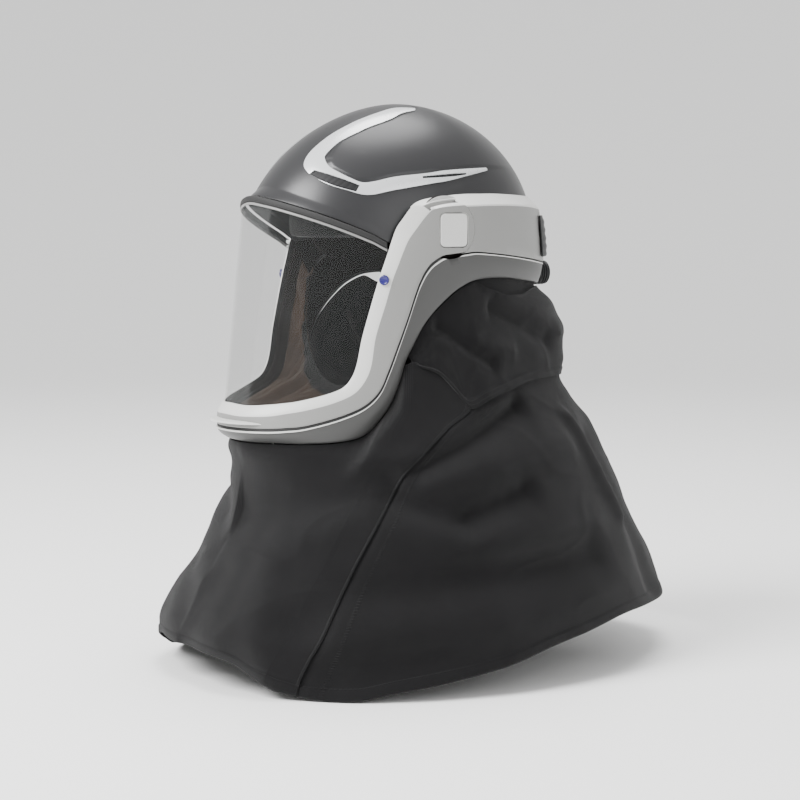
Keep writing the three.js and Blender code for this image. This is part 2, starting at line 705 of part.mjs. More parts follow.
// Nape: a dark cover on the band and the coupling for the air hose below it.
{
  const plate = (levels, inset) => range(11).map((i) => levels.map((z) => onFrame([148 + i * 6.4, z], inset)));
  const above = [-71, -84, -98, -112];
  add("rear_cover", wall(plate(above, -4.5), plate(above, -0.5)), black);
  const tube = (radius, from, to) =>
    solid.Manifold.cylinder(to - from, radius, radius, 28).rotate([-90, 0, 0]).translate([0, from, inletZ]);
  const below = [inletZ + 9, inletZ, inletZ - 8.5];
  const flange = wall(plate(below, -4), plate(below, -0.3));
  const mouth = frameBackLow + inletLength;
  const coupling = flange.add(tube(hoseCollar, frameBackLow + 0.6, mouth));
  add("air_inlet", coupling.subtract(tube(hoseBore, frameBackLow + 1.8, mouth + 10)), black);
}

// Head suspension: a band round the head with four lugs to the shell, two crossed straps and a brow pad.
{
  const oval = (turn, grow, z) => {
    const angle = turn * degree;
    return new THREE.Vector3((headHalfWidth + grow) * Math.sin(angle), -(headHalfLength + grow) * Math.cos(angle), z);
  };
  const hoop = (grow) => range(36).map((i) => [headbandLow, headbandHigh].map((z) => oval(i * 10, grow, z)));
  let band = wall(hoop(2), hoop(0), true);
  for (const turn of [66, 132, -132, -66]) {
    const reach = (z) => shellReach(turn, z, -shellWall) - 3.2;
    const lug = (spread) => [headbandLow + 9, headbandHigh - 5].map((z) => round(turn + spread, reach(z), z));
    const root = (spread) => [headbandLow + 9, headbandHigh - 5].map((z) => oval(turn + spread * 1.1, 1, z));
    band = band.add(wall([lug(-4), lug(4)], [root(-4), root(4)]));
  }
  add("headband", band, black);

  const strap = (reach, across) => {
    const rows = (lift) => range(17).map((i) => {
      const s = (i - 8) / 8;
      const z = lift + crownSag * (Math.sqrt(1 - (0.985 * s) ** 2) - 1);
      return [-9, 9].map((w) => new THREE.Vector3(...(across ? [reach * s, w] : [w, reach * s]), z));
    });
    return wall(rows(1.8), rows(0));
  };
  add("crown_straps", strap(headHalfWidth + 0.8, true).add(strap(headHalfLength + 0.8, false)), black);

  const pad = (grow, bulge) => range(13).map((i) =>
    [-91, -84, -74, -67].map((z, k) => oval((i - 6) * 6, grow + (k === 1 || k === 2 ? bulge : 0), z)));
  add("brow_pad", wall(pad(7, 1.5), pad(2.4, 0)), black);
}

// Cloth.
const clothLevel = (drop) => -drop * hemDrop;
const lineLevel = (line, turn) => clothLevel(read(line, "turn", "drop", Math.abs(turn)));
const seamTurn = (v) =>
  read(panelSeam, "drop", "turn", mix(panelSeam[0].drop, panelSeam[panelSeam.length - 1].drop, v));
const junction = panelSeam[0].turn;
const turnOf = (p) => Math.atan2(p.x, clothAxisY - p.y) / degree;

// The bottom edge of the lower frame from the chin to the nape, just under its outer border.
const footPath = new THREE.CatmullRomCurve3(frameLines.map((row) => {
  const { seam, foot } = station(row, 1);
  return onFrame(shifted(foot, seam, -1.3), 7.6 + chinTuckAt(row.footTurn));
}));
const neckStart = neckLine[0].turn;
const neckPath = new THREE.CatmullRomCurve3(range(15).map((i) => {
  const turn = mix(neckStart, 180, i / 14);
  return onCloth(turn, lineLevel(neckLine, turn), 0);
}));

// A panel hangs from a top line; below it the columns ease into the cloth's plan.
function hang(columns, rows, topAt, placeAt, ease) {
  const layer = (inset) => range(columns).map((i) => {
    const s = (2 * i) / (columns - 1) - 1;
    const side = s < 0 ? -1 : 1;
    const top = topAt(Math.abs(s));
    const start = Math.abs(turnOf(top));
    const off = Math.hypot(top.x, top.y - clothAxisY) - clothReach(start, top.z) - foldHeight(side * start, top.z);
    return range(rows + 1).map((j) => {
      const [turn, z] = placeAt(Math.abs(s), start, top.z, j / rows);
      const fade = Math.exp(-(((top.z - z) / ease) ** 2));
      return onCloth(side * turn, z, inset - off * fade);
    });
  });
  return wall(layer(0), layer(clothWall));
}
const hemLevel = (turn) => lineLevel(hemLine, turn);
const slit = 0.07;
{
  const chinShare = 0.72;
  const chinTop = (s) => {
    if (s < chinShare) return footPath.getPoint(((s / chinShare) * footLastRow) / nape);
    const turn = mix(neckStart, junction, (s - chinShare) / (1 - chinShare));
    return neckPath.getPoint((turn - neckStart) / (180 - neckStart)).setZ(lineLevel(neckLine, turn) - 0.4);
  };
  // Columns lean with the seam at their side, the more the nearer they are to it.
  const lean = (z) => junction - read(panelSeam, "drop", "turn", -z / hemDrop);
  const leaning = (column, z) =>
    (column / junction) ** Math.min(3, (0.8 * junction) / Math.max(lean(z), 1)) * lean(z);
  const place = (s, start, top, v) => {
    let column = start;
    for (let i = 0; i < 12; i++) column = start + leaning(column, top);
    let hem = hemLevel(start);
    for (let i = 0; i < 6; i++) hem = hemLevel(column - leaning(column, hem));
    const z = mix(top, hem, v);
    return [(column - leaning(column, z)) * (1 - slit / junction), z];
  };
  add("shroud_front", hang(29, 9, chinTop, place, 24), cloth);
}
{
  const backTop = (s) => {
    const turn = mix(180, junction, s);
    return onCloth(turn, lineLevel(neckLine, turn) - 0.4);
  };
  const turnAt = (start, v) => 180 - ((180 - start) * (180 - seamTurn(v) - slit)) / (180 - junction);
  const place = (s, start, top, v) => [turnAt(start, v), mix(top, hemLevel(turnAt(start, 1)), v)];
  add("shroud_back", hang(31, 9, backTop, place, 24), cloth);
}
{
  const collarStart = footLastRow + 0.35;
  const collarTop = (s) => {
    const foot = footPath.getPoint(mix(nape, collarStart, s) / nape);
    const sag = hemDrop * read(collarSag, "turn", "drop", Math.abs(turnOf(foot)));
    const out = 1 + (0.6 * sag) / Math.hypot(foot.x, foot.y);
    return new THREE.Vector3(foot.x * out, foot.y * out, foot.z - sag - 0.3);
  };
  const place = (s, start, top, v) => {
    const end = mix(180, neckStart, s);
    return [mix(start, end, v), mix(top, lineLevel(neckLine, end) + 0.8, v)];
  };
  add("shroud_collar", hang(35, 6, collarTop, place, 13), cloth);
}

export default group;
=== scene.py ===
"""Powered respirator helmet with a hinged visor and a cloth shroud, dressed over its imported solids."""
import math

import bmesh
import bpy
from mathutils import Matrix, Vector, noise


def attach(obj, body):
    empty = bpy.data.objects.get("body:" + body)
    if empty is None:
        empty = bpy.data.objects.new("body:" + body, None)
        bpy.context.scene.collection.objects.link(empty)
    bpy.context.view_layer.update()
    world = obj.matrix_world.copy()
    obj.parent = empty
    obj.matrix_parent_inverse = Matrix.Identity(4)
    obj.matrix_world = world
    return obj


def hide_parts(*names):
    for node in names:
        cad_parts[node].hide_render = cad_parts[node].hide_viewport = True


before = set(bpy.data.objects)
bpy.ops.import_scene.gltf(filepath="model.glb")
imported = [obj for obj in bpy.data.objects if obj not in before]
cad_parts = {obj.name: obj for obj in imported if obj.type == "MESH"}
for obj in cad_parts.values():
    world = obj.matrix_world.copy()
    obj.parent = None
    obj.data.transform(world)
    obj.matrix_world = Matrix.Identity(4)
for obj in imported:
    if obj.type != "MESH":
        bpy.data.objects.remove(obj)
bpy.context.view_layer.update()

# Camera. A long lens at eye height, ahead of the wearer's left shoulder, square to the picture.
# It comes first because everything else is judged through it.
view_turn = math.radians(60)
view_rise = math.radians(5.5)
view_distance = 2.0
view_middle = Vector((0, 0.0056, -0.255))
toward_camera = Vector((
    math.sin(view_turn) * math.cos(view_rise),
    -math.cos(view_turn) * math.cos(view_rise),
    math.sin(view_rise),
))
lens = bpy.data.cameras.new("camera")
lens.lens = 90
lens.sensor_width = 36
camera = bpy.data.objects.new("camera", lens)
camera.location = view_middle + toward_camera * view_distance
camera.rotation_euler = toward_camera.to_track_quat("Z", "Y").to_euler()
bpy.context.collection.objects.link(camera)
bpy.context.scene.camera = camera


# Shell. A moulded dome of satin graphite plastic, painted black inside as painted shade, with a small flare
# along its brow and a raised panel on each side. Its surface is worked out from the turn round the head, in
# degrees from the face, and the height; lengths are millimetres until a point is placed.
mm = 0.001
dome_front, dome_back, dome_half_width = 158, 146, 108
dome_top, dome_rim = 38, -90
dome_power_front, dome_power_back = 1.76, 1.98
lip_inset, flare_height, shell_wall = 10.6, 9, 3
panel_raise = 1.7
brow_line = [
    (0, -51.8), (10, -55), (20, -61), (30, -68.8), (40, -77.8), (50, -87.5), (60, -97), (66, -96),
    (74, -92), (180, -92),
]
panel_low = [
    (24, 0.6), (28.5, 0.5), (33.5, 0.46), (39, 0.42), (44.5, 0.392), (50, 0.397), (60.6, 0.43), (79.4, 0.458),
    (90, 0.477), (107, 0.493), (122, 0.5), (180, 0.5),
]
panel_high = [
    (24, 0.6), (25.8, 0.67), (29, 0.715), (33.8, 0.757), (41, 0.805), (54.9, 0.859), (70, 0.91), (93.6, 0.94),
    (180, 1.2),
]


def clamp(v, low=0.0, high=1.0):
    return min(high, max(low, v))


def mix(a, b, t):
    return a + (b - a) * t


def ease(t):
    t = clamp(t)
    return t * t * (3 - 2 * t)


def through(rows, at, column=1):
    """A column of a table, read at any place along its first column on a smooth curve through the rows."""
    if at <= rows[0][0]:
        return rows[0][column]
    if at >= rows[-1][0]:
        return rows[-1][column]
    i = max(k for k in range(len(rows) - 1) if rows[k][0] <= at)

    def slope(k):
        if k == 0 or k == len(rows) - 1:
            return 0.0
        before = (rows[k][column] - rows[k - 1][column]) / (rows[k][0] - rows[k - 1][0])
        after = (rows[k + 1][column] - rows[k][column]) / (rows[k + 1][0] - rows[k][0])
        return 0.0 if before * after <= 0 else 2 * before * after / (before + after)

    width = rows[i + 1][0] - rows[i][0]
    t = (at - rows[i][0]) / width
    low, high = rows[i][column], rows[i + 1][column]
    rising = mix(low, high, t * t * (3 - 2 * t))
    return rising + width * (t * (1 - t) ** 2 * slope(i) - t * t * (1 - t) * slope(i + 1))


def around(turn, reach, z, axis_y=0.0):
    angle = math.radians(turn)
    return Vector((reach * math.sin(angle), axis_y - reach * math.cos(angle), z)) * mm


def frame_reach(turn, z):
    c = math.cos(math.radians(turn))
    front = mix(163, 189, clamp((-z - 50) / 220, 0, 1.1))
    back = mix(151, 158, clamp((-z - 60) / 50))
    half = mix(119, 113, clamp((-z - 100) / 165, 0, 1.1))
    return 1 / math.hypot(math.sin(math.radians(turn)) / half, c / (front if c > 0 else back))


def dome_reach(turn, z, out=0.0):
    c = math.cos(math.radians(turn))
    rise = clamp((z - dome_rim) / (dome_top + out - dome_rim))
    power = mix(dome_power_front, dome_power_back, (1 - c) / 2)
    along = c / ((dome_front if c > 0 else dome_back) + out)
    return max(0.0, 1 - rise**power) ** (1 / power) / math.hypot(
        math.sin(math.radians(turn)) / (dome_half_width + out), along)


def shell_reach(turn, z, out=0.0):
    return min(dome_reach(turn, z, out), frame_reach(turn, z) - lip_inset + out)


def brow_level(turn):
    return through(brow_line, abs(turn))


def on_dome(turn, rise, out=0.0):
    z = dome_rim + rise * (dome_top + out - dome_rim)
    return around(turn, shell_reach(turn, z, out), z)


def laid(columns, rows, place):
    """A grid whose every point is put in place from how far across and how far down the grid it lies."""
    bm = bmesh.new()
    bmesh.ops.create_grid(bm, x_segments=columns, y_segments=rows, size=1)
    chart = bm.loops.layers.uv.new("chart")
    for v in bm.verts:
        across, down = (v.co.x + 1) / 2, (v.co.y + 1) / 2
        for loop in v.link_loops:
            loop[chart].uv = (across, down)
        v.co = place(across, down)
    bmesh.ops.remove_doubles(bm, verts=bm.verts, dist=2e-6)
    bmesh.ops.recalc_face_normals(bm, faces=bm.faces)
    return bm


def outward(bm, middle):
    """Turns an open sheet's faces away from a point inside the helmet."""
    votes = sum((f.calc_center_median() - middle).dot(f.normal) > 0 for f in bm.faces)
    if votes * 2 < len(bm.faces):
        bmesh.ops.reverse_faces(bm, faces=bm.faces)
    return bm


def walled(piece, wall, rim=0):
    """A wall of that many millimetres behind the sheet, in the next material where the piece has more than one."""
    thick = piece.modifiers.new("wall", "SOLIDIFY")
    thick.thickness = wall * mm
    thick.offset = -1
    thick.use_even_offset = True
    thick.thickness_clamp = 0.5
    if len(piece.data.materials) > 1:
        thick.material_offset = 1
        thick.material_offset_rim = rim


def finished(name, bm, body, nodes, slot, *materials, wall=0.0, rim=0, edge=0.0, smooth=40):
    """The piece from its mesh: a wall behind the sheet, rounded edges, and its place on a body of the frame."""
    mesh = bpy.data.meshes.new(name)
    bm.to_mesh(mesh)
    bm.free()
    piece = bpy.data.objects.new(name, mesh)
    bpy.context.collection.objects.link(piece)
    for material in materials:
        mesh.materials.append(material)
    mesh.shade_smooth()
    mesh.set_sharp_from_angle(angle=math.radians(smooth))
    if wall:
        walled(piece, wall, rim)
    if edge:
        rounded = piece.modifiers.new("edge", "BEVEL")
        rounded.width = edge * mm
        rounded.segments = 3
        rounded.limit_method = "ANGLE"
        rounded.angle_limit = math.radians(40)
        rounded.harden_normals = False
    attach(piece, body)
    if nodes:
        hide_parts(*nodes)
    return piece


class Wire:
    """One output of a shader node, so that masks can be worked out as plain sums and products."""

    def __init__(self, paint, socket):
        self.paint, self.socket = paint, socket

    def maths(self, operation, *others):
        values = {i: other for i, other in enumerate(others)}
        return self.paint.node("ShaderNodeMath", {"operation": operation}, values)

    def __add__(self, other):
        return self.maths("ADD", self, other)

    def __sub__(self, other):
        return self.maths("SUBTRACT", self, other)

    def __mul__(self, other):
        return self.maths("MULTIPLY", self, other)

    def __truediv__(self, other):
        return self.maths("DIVIDE", self, other)

    def __pow__(self, other):
        return self.maths("POWER", self, other)

    def __rsub__(self, other):
        return self.maths("SUBTRACT", other, self)

    __radd__ = __add__
    __rmul__ = __mul__

    def above(self, low, high):
        """0 below low, 1 above high, and a soft step between them."""
        return self.paint.node(
            "ShaderNodeMapRange", {"interpolation_type": "SMOOTHSTEP"}, {"Value": self, 1: low, 2: high})


class Paint:
    """A material with one glossy surface, whose patterns are added node by node."""

    def __init__(self, name, color, roughness, **sockets):
        self.material = bpy.data.materials.new(name)
        self.material.use_nodes = True
        self.tree = self.material.node_tree
        self.surface = self.tree.nodes["Principled BSDF"]
        self.surface.inputs["Base Color"].default_value = (*color, 1)
        self.surface.inputs["Roughness"].default_value = roughness
        for socket, value in sockets.items():
            self.surface.inputs[socket.replace("_", " ")].default_value = value
        self.place = self.node("ShaderNodeTexCoord", {}, {}, "Object")

    def node(self, kind, settings, values, output=0):
        made = self.tree.nodes.new(kind)
        for key, value in settings.items():
            if key == "stops":
                for stop, (at, shade) in zip(made.color_ramp.elements, value):
                    stop.position, stop.color = at, (*shade, 1)
            else:
                setattr(made, key, value)
        for key, value in values.items():
            if isinstance(value, Wire):
                self.tree.links.new(value.socket, made.inputs[key])
            else:
                made.inputs[key].default_value = value
        return Wire(self, made.outputs[output])

    def cloud(self, scale, detail=4.0, roughness=0.55, stretch=None, vector=None):
        """Soft noise, from 0 to 1, with features about 1/scale metres apart."""
        vector = vector or self.place
        if stretch:
            vector = self.node("ShaderNodeMapping", {}, {"Vector": vector, "Scale": stretch})
        return self.node("ShaderNodeTexNoise", {},
                         {"Vector": vector, "Scale": scale, "Detail": detail, "Roughness": roughness})

    def blend(self, factor, low, high):
        shades = [value if isinstance(value, Wire) else (*value, 1) for value in (low, high)]
        return self.node("ShaderNodeMix", {"data_type": "RGBA"}, {0: factor, 6: shades[0], 7: shades[1]}, 2)

    def feed(self, socket, wire):
        self.tree.links.new(wire.socket, self.surface.inputs[socket])

    def relief(self, height, depth):
        """Raises the surface by height, from 0 to 1, times depth in millimetres."""
        self.feed("Normal", self.node(
            "ShaderNodeBump", {}, {"Height": height, "Distance": depth * mm, "Strength": 1.0}))


def plastic(name, color, roughness, grain=0.04, scuff=0.12, soil=(0.3, 0.29, 0.27), **sockets):
    """Moulded plastic: a fine pebble grain, faint cloudiness, hairline scuffs and a little dust."""
    paint = Paint(name, color, roughness, **sockets)
    pebble = paint.cloud(1400, 2.0, 0.5)
    cloudy = paint.cloud(14, 5.0, 0.6)
    hair = paint.cloud(90, 3.0, 0.6, (1, 1, 14)).above(0.64, 0.7) * cloudy.above(0.45, 0.6)
    dusty = paint.cloud(34, 6.0, 0.7).above(0.55, 0.78)
    shade = paint.blend(cloudy * 0.5, color, [c * 0.9 for c in color])
    shade = paint.blend(hair * scuff, shade, [min(1.0, c * 1.6 + 0.05) for c in color])
    paint.feed("Base Color", paint.blend(dusty * scuff * 0.5, shade, soil))
    paint.feed("Roughness", clamp(roughness) + dusty * 0.1 + hair * 0.12 - cloudy * 0.05)
    paint.relief(pebble * 0.7 + hair * 0.3, grain)
    return paint.material


graphite = plastic("graphite_plastic", (0.022, 0.022, 0.0235), 0.36, 0.03, 0.08, (0.12, 0.12, 0.11), Metallic=0.25)
black_plastic = plastic("black_plastic", (0.01, 0.01, 0.011), 0.5, 0.05, 0.04, (0.1, 0.1, 0.095),
                        Specular_IOR_Level=0.25)


def shell_point(across, down):
    turn = across * 360 - 180
    rim = brow_level(turn)
    if down < 0.16:
        t = down / 0.16
        z = mix(rim, rim + flare_height, t)
        flared = frame_reach(turn, rim) - lip_inset
        lip = mix(flared, shell_reach(turn, rim), ease((abs(turn) - 52) / 12))
        return around(turn, mix(shell_reach(turn, z), lip, (1 - t) ** 1.6), z)
    start = (rim + flare_height - dome_rim) / (dome_top - dome_rim)
    rise = mix(max(start, 0.0), 1, 1 - (1 - (down - 0.16) / 0.84) ** 1.7)
    side = abs(turn)
    low, high = through(panel_low, side), through(panel_high, side)
    inside = ease((rise - low) / 0.02) * ease((high - rise) / 0.02) * ease((side - 24.5) / 3)
    inside *= 1 - ease((side - 118) / 34)
    return on_dome(turn, min(rise, 1), panel_raise * inside * ease((1 - rise) / 0.05))


shell_mesh = laid(260, 150, shell_point)
bmesh.ops.recalc_face_normals(shell_mesh, faces=shell_mesh.faces)
# The inside wall takes the black plastic: painted shade.
shell = finished("dome_shell", outward(shell_mesh, Vector((0, 0, -0.05))), "helmet", ["shell"], "graphite_shell",
                 graphite, black_plastic, wall=shell_wall, edge=0.7)


# Trim strips. A silver strip is let into each side of the shell: it runs from the crown down round the
# temple and back along the side, and holds two dark vent slots with fine louvres.
trim_lines = [
    (99.6, 0.953, 93.6, 0.934), (70, 0.955, 70, 0.91), (50.8, 0.942, 54.9, 0.859), (37, 0.905, 41, 0.805),
    (26.8, 0.851, 33.8, 0.757), (21, 0.79, 29, 0.715), (17.2, 0.725, 25.8, 0.67), (14.6, 0.62, 23.7, 0.592),
    (15.3, 0.534, 25, 0.55), (18.7, 0.474, 28.5, 0.5), (24.5, 0.42, 33.5, 0.46), (31, 0.37, 39, 0.42),
    (38, 0.335, 44.5, 0.388), (47.7, 0.298, 50, 0.395), (60.6, 0.335, 60.6, 0.43), (79.4, 0.379, 79.4, 0.458),
    (91, 0.402, 90, 0.477), (105.5, 0.441, 107.1, 0.493), (122, 0.482, 122, 0.503),
]
slot_lines = {
    "front": [(21.5, 0.452, 23, 0.478), (28, 0.405, 30, 0.445), (35, 0.362, 37.5, 0.405), (43, 0.325, 44, 0.365)],
    "rear": [(76, 0.418, 76, 0.432), (86, 0.425, 86, 0.443), (96, 0.435, 96, 0.453), (104, 0.448, 104, 0.458)],
}


def along(rows, at):
    """A whole row of a table at a place from 0 to its last row, on a smooth curve through the rows."""
    at = clamp(at, 0, len(rows) - 1)
    i = min(int(at), len(rows) - 2)
    t = at - i
    before, low, high, after = (rows[clamp(k, 0, len(rows) - 1)] for k in (i - 1, i, i + 1, i + 2))
    return [
        b + 0.5 * t * (c - a + t * (2 * a - 5 * b + 4 * c - d + t * (3 * (b - c) + d - a)))
        for a, b, c, d in zip(before, low, high, after)
    ]


def strip_patch(rows, side, grown, out):
    """The patch of dome between two borders, grown past them, at a height that out gives across it."""
    def place(down, across):
        outer_turn, outer_rise, inner_turn, inner_rise = along(rows, down * (len(rows) - 1))
        t = mix(-grown, 1 + grown, across)
        turn = mix(outer_turn, inner_turn, t) + (2 * down - 1) * grown * 4
        return on_dome(side * turn, mix(outer_rise, inner_rise, t), out(across, down))
    return place


def cut(piece, cutter_mesh, operation="DIFFERENCE"):
    """Cuts a closed shape out of a piece, or keeps only what lies in it, and settles the result."""
    bmesh.ops.recalc_face_normals(cutter_mesh, faces=cutter_mesh.faces)
    mesh = bpy.data.meshes.new("cutter")
    cutter_mesh.to_mesh(mesh)
    cutter_mesh.free()
    cutter = bpy.data.objects.new("cutter", mesh)
    bpy.context.collection.objects.link(cutter)
    boolean = piece.modifiers.new("cut", "BOOLEAN")
    boolean.operation, boolean.object, boolean.solver = operation, cutter, "EXACT"
    settled(piece)
    bpy.data.objects.remove(cutter)


def settled(piece):
    """Makes the piece's modifiers part of its mesh."""
    bpy.context.view_layer.update()
    shape = bpy.data.meshes.new_from_object(piece.evaluated_get(bpy.context.evaluated_depsgraph_get()))
    piece.modifiers.clear()
    piece.data = shape
    shape.set_sharp_from_angle(angle=math.radians(35))


def rounded_off(piece, width, segments=3, angle=40):
    soft = piece.modifiers.new("edge", "BEVEL")
    soft.width, soft.segments, soft.limit_method = width * mm, segments, "ANGLE"
    soft.angle_limit = math.radians(angle)


silver = plastic("silver_plastic", (0.62, 0.63, 0.64), 0.3, 0.02, 0.1, Metallic=0.35)
for side, word in ((1, "left"), (-1, "right")):
    crown = lambda across, down: 1.1 + 0.5 * math.sin(math.pi * across)
    mesh = outward(laid(240, 14, strip_patch(trim_lines, side, 0.0, crown)), Vector((0, 0, -0.05)))
    strip = finished(f"trim_{word}", mesh, "helmet", [f"accent_{word}"], "silver_trim", silver, wall=1.7)
    settled(strip)
    for lines in slot_lines.values():
        flat = laid(40, 6, strip_patch(lines, side, 0.06, lambda across, down: 6))
        bmesh.ops.solidify(flat, geom=flat.faces, thickness=9 * mm)
        cut(strip, flat)
    rounded_off(strip, 0.45, 2)
    for where, lines in slot_lines.items():
        count = 9 if where == "front" else 11
        louvre = lambda across, down: 0.35 + 0.2 * abs(math.sin(math.pi * count * down)) ** 0.6
        mesh = outward(laid(160, 8, strip_patch(lines, side, 0.04, louvre)), Vector((0, 0, -0.05)))
        finished(f"vent_{where}_{word}_louvre", mesh, "helmet", [f"vent_{where}_{word}"], "black_plastic",
                 black_plastic, wall=0.6)


# Frame lines. The visor frame, rear band and lower frame share one smooth oval face, and four lines run
# round it from the chin to the nape: visor edge, crease of the bevel, seam, and foot. Turns and heights
# in millimetres, the chin's row first.
frame_lines = [
    (0, -248.5, 0, -258.5, 0, -271.5, 0, -284.5), (8, -249.3, 8, -259.3, 8, -271.5, 8, -284.4),
    (16, -247.4, 17, -258, 17, -271, 17, -283.8), (20.5, -245.7, 22.5, -255.2, 22.5, -269.8, 22, -283.7),
    (25, -243.6, 28.5, -251.7, 28.6, -267.5, 27, -283.5), (33.4, -237.5, 37, -245, 40, -258.3, 38, -281.8),
    (39.3, -231.1, 43.9, -236.6, 48.3, -248.6, 46.3, -276.9), (42.5, -221.8, 48, -225, 54, -235.4, 52.5, -264),
    (44.5, -208.7, 50.5, -210, 57.7, -217.2, 57.3, -250), (46.6, -183.6, 52.3, -183.3, 61.4, -195.5, 61.5, -231),
    (50.1, -153.8, 56.2, -153.6, 66.2, -167.3, 65.1, -207.7),
    (53.1, -130.6, 59.2, -130.5, 69.9, -143.8, 69.7, -189.3),
    (55.2, -117, 61.5, -117, 72.1, -132.1, 74, -174), (57.2, -104, 63.8, -104, 74.6, -122.6, 79, -162),
    (59, -92, 66.2, -92.8, 77.7, -115.5, 85, -151), (60.8, -82.1, 70.3, -81, 82.7, -109.6, 91, -142),
    (63.5, -73.9, 73.3, -73, 87, -108.2, 97, -135.9), (67.4, -63.3, 76.3, -66.6, 91, -107.3, 101, -133),
    (72, -57.4, 79, -64.5, 95, -106.3, 104, -131.8), (79, -54.2, 84, -62.7, 99.8, -105.3, 108, -131),
    (88, -52.2, 91, -61.6, 105, -105.8, 112, -130.6), (98, -50.7, 100, -60.8, 111, -106.9, 119, -130.6),
    (109, -50.3, 110, -60.3, 118, -108.3, 126, -131.5), (120, -50.1, 121, -60.2, 126, -110.2, 134, -133.5),
    (135, -50.9, 137, -61.3, 137.5, -112.9, 143, -135.5), (150, -52, 152, -63.5, 151, -116.2, 156, -138),
    (165, -53, 166, -65, 165.5, -118, 168, -139.5), (180, -53.5, 180, -65.5, 180, -118.5, 180, -140),
]
nape = len(frame_lines) - 1
mirrored_rows = [[-v if k % 2 == 0 else v for k, v in enumerate(row)] for row in frame_lines[:0:-1]]
beyond_nape = [[360 - v if k % 2 == 0 else v for k, v in enumerate(row)] for row in frame_lines[-2::-1]]
all_rows = mirrored_rows + [list(row) for row in frame_lines] + beyond_nape


class Station:
    """The four lines at one place: row 0 is the chin, the nape is the last row, minus is the right side."""

    def __init__(self, row):
        values = along(all_rows, row + nape)
        self.edge, self.crease, self.seam, self.foot = (Vector(values[k:k + 2]) for k in (0, 2, 4, 6))


def on_frame(place, inset=0.0):
    return around(place[0], frame_reach(*place) - inset, place[1])


def toward(a, b, length):
    """A place on the frame a given length from a, in the direction of b."""
    return a.lerp(b, length * mm / max((on_frame(a) - on_frame(b)).length, 1e-5))


def section(points):
    """A placing function for a run of stations, with the section's points joined by straight or curved runs."""
    def place(row, down):
        run = points(Station(row), row)
        k = min(int(down * (len(run) - 1) + 1e-6), len(run) - 2)
        return run[k].lerp(run[k + 1], down * (len(run) - 1) - k)
    return place


def swept(first, last, columns, points):
    """A sheet along the frame from one row to another, one strip of faces between each two section points."""
    place = section(points)
    count = len(points(Station(first), first)) - 1
    return laid(columns, count, lambda across, down: place(mix(first, last, across), down))


# Rear band. A pale satin moulding hugs the shell from temple to temple: a broad bevel meets the dome, a
# flat face carries the wearer's label area, left bare, and its lower edge turns in. The face is painted grey and
# the inside dark brown, both painted shade.
white = plastic("pale_plastic", (0.56, 0.56, 0.545), 0.4, 0.035, 0.04)
# The band's and visor frame's flat faces are the same pale plastic as their bevels; this grey is painted shade on
# those faces, and a painted glint on the visor's strip.
shade_and_glint_grey = plastic("painted_shade_and_glint_grey", (0.22, 0.22, 0.214), 0.42, 0.035, 0.04)
# A near-black brown for the inside walls of the pale and grey mouldings, the inner rim channel, the flange and the
# hidden sides of the hinge seats: painted shade where the inside of the helmet falls in shadow.
shade_lining = plastic("dark_lining", (0.007, 0.004, 0.003), 0.65, 0.08, 0.03, (0.05, 0.04, 0.035), Specular_IOR_Level=0.15)
pivot_y, pivot_z = -8, -83.5
arm_radius, boss_radius = 27, 6
side_reach = 119


def disc_prism(y, z, radius, low, high, side, outline=None, count=96):
    """A closed plug beside the helmet, from one distance off its middle to another: a disc or an outline."""
    bm = bmesh.new()
    points = outline or [
        (y + radius * math.cos(math.tau * k / count), z + radius * math.sin(math.tau * k / count))
        for k in range(count)]
    face = bm.faces.new([bm.verts.new(Vector((side * low, py, pz)) * mm) for py, pz in points])
    grown = bmesh.ops.extrude_face_region(bm, geom=[face])
    moved = [v for v in grown["geom"] if isinstance(v, bmesh.types.BMVert)]
    bmesh.ops.translate(bm, verts=moved, vec=Vector((side * (high - low), 0, 0)) * mm)
    bmesh.ops.recalc_face_normals(bm, faces=bm.faces)
    return bm


def fan_outline(radius, top_angle):
    """The disc about the pivot with all that lies ahead of it between two rays, whose angles rise from the front."""
    far = [(-106 + k * (top_angle + 106) / 12, 320) for k in range(13)]
    near = [(top_angle + k * (254 - top_angle) / 96, radius) for k in range(97)]
    return [
        (pivot_y - reach * math.cos(math.radians(a)), pivot_z + reach * math.sin(math.radians(a)))
        for a, reach in far + near
    ]


def band_section(station, row):
    edge, crease, seam = station.edge, station.crease, station.seam
    top = around(edge[0], shell_reach(*edge) + 1.4, edge[1])
    tucked = around(edge[0], shell_reach(edge[0], edge[1] - 1.5) - 0.2, edge[1] - 1.5)
    low = crease + (seam - crease) * 0.03
    face = [on_frame(crease.lerp(seam, t), 0) for t in (0.08, 0.3, 0.55, 0.8)]
    return [
        tucked, top, top.lerp(on_frame(crease, 0.5), 0.35), top.lerp(on_frame(crease, 0.5), 0.7),
        on_frame(crease, 0.6), on_frame(low, 0.15), *face,
        on_frame(toward(seam, crease, 1.4), 0), on_frame(toward(seam, crease, 0.5), 0.6), on_frame(seam, 2.4),
        on_frame(toward(seam, crease, 0.3), 5.5),
    ]


def face_rows(bm, first, last, count, number):
    """Gives the faces between two points of the section another material."""
    chart = bm.loops.layers.uv["chart"]
    for face in bm.faces:
        middle = sum(loop[chart].uv.y for loop in face.loops) / len(face.loops) * count
        if first < middle < last:
            face.material_index = number


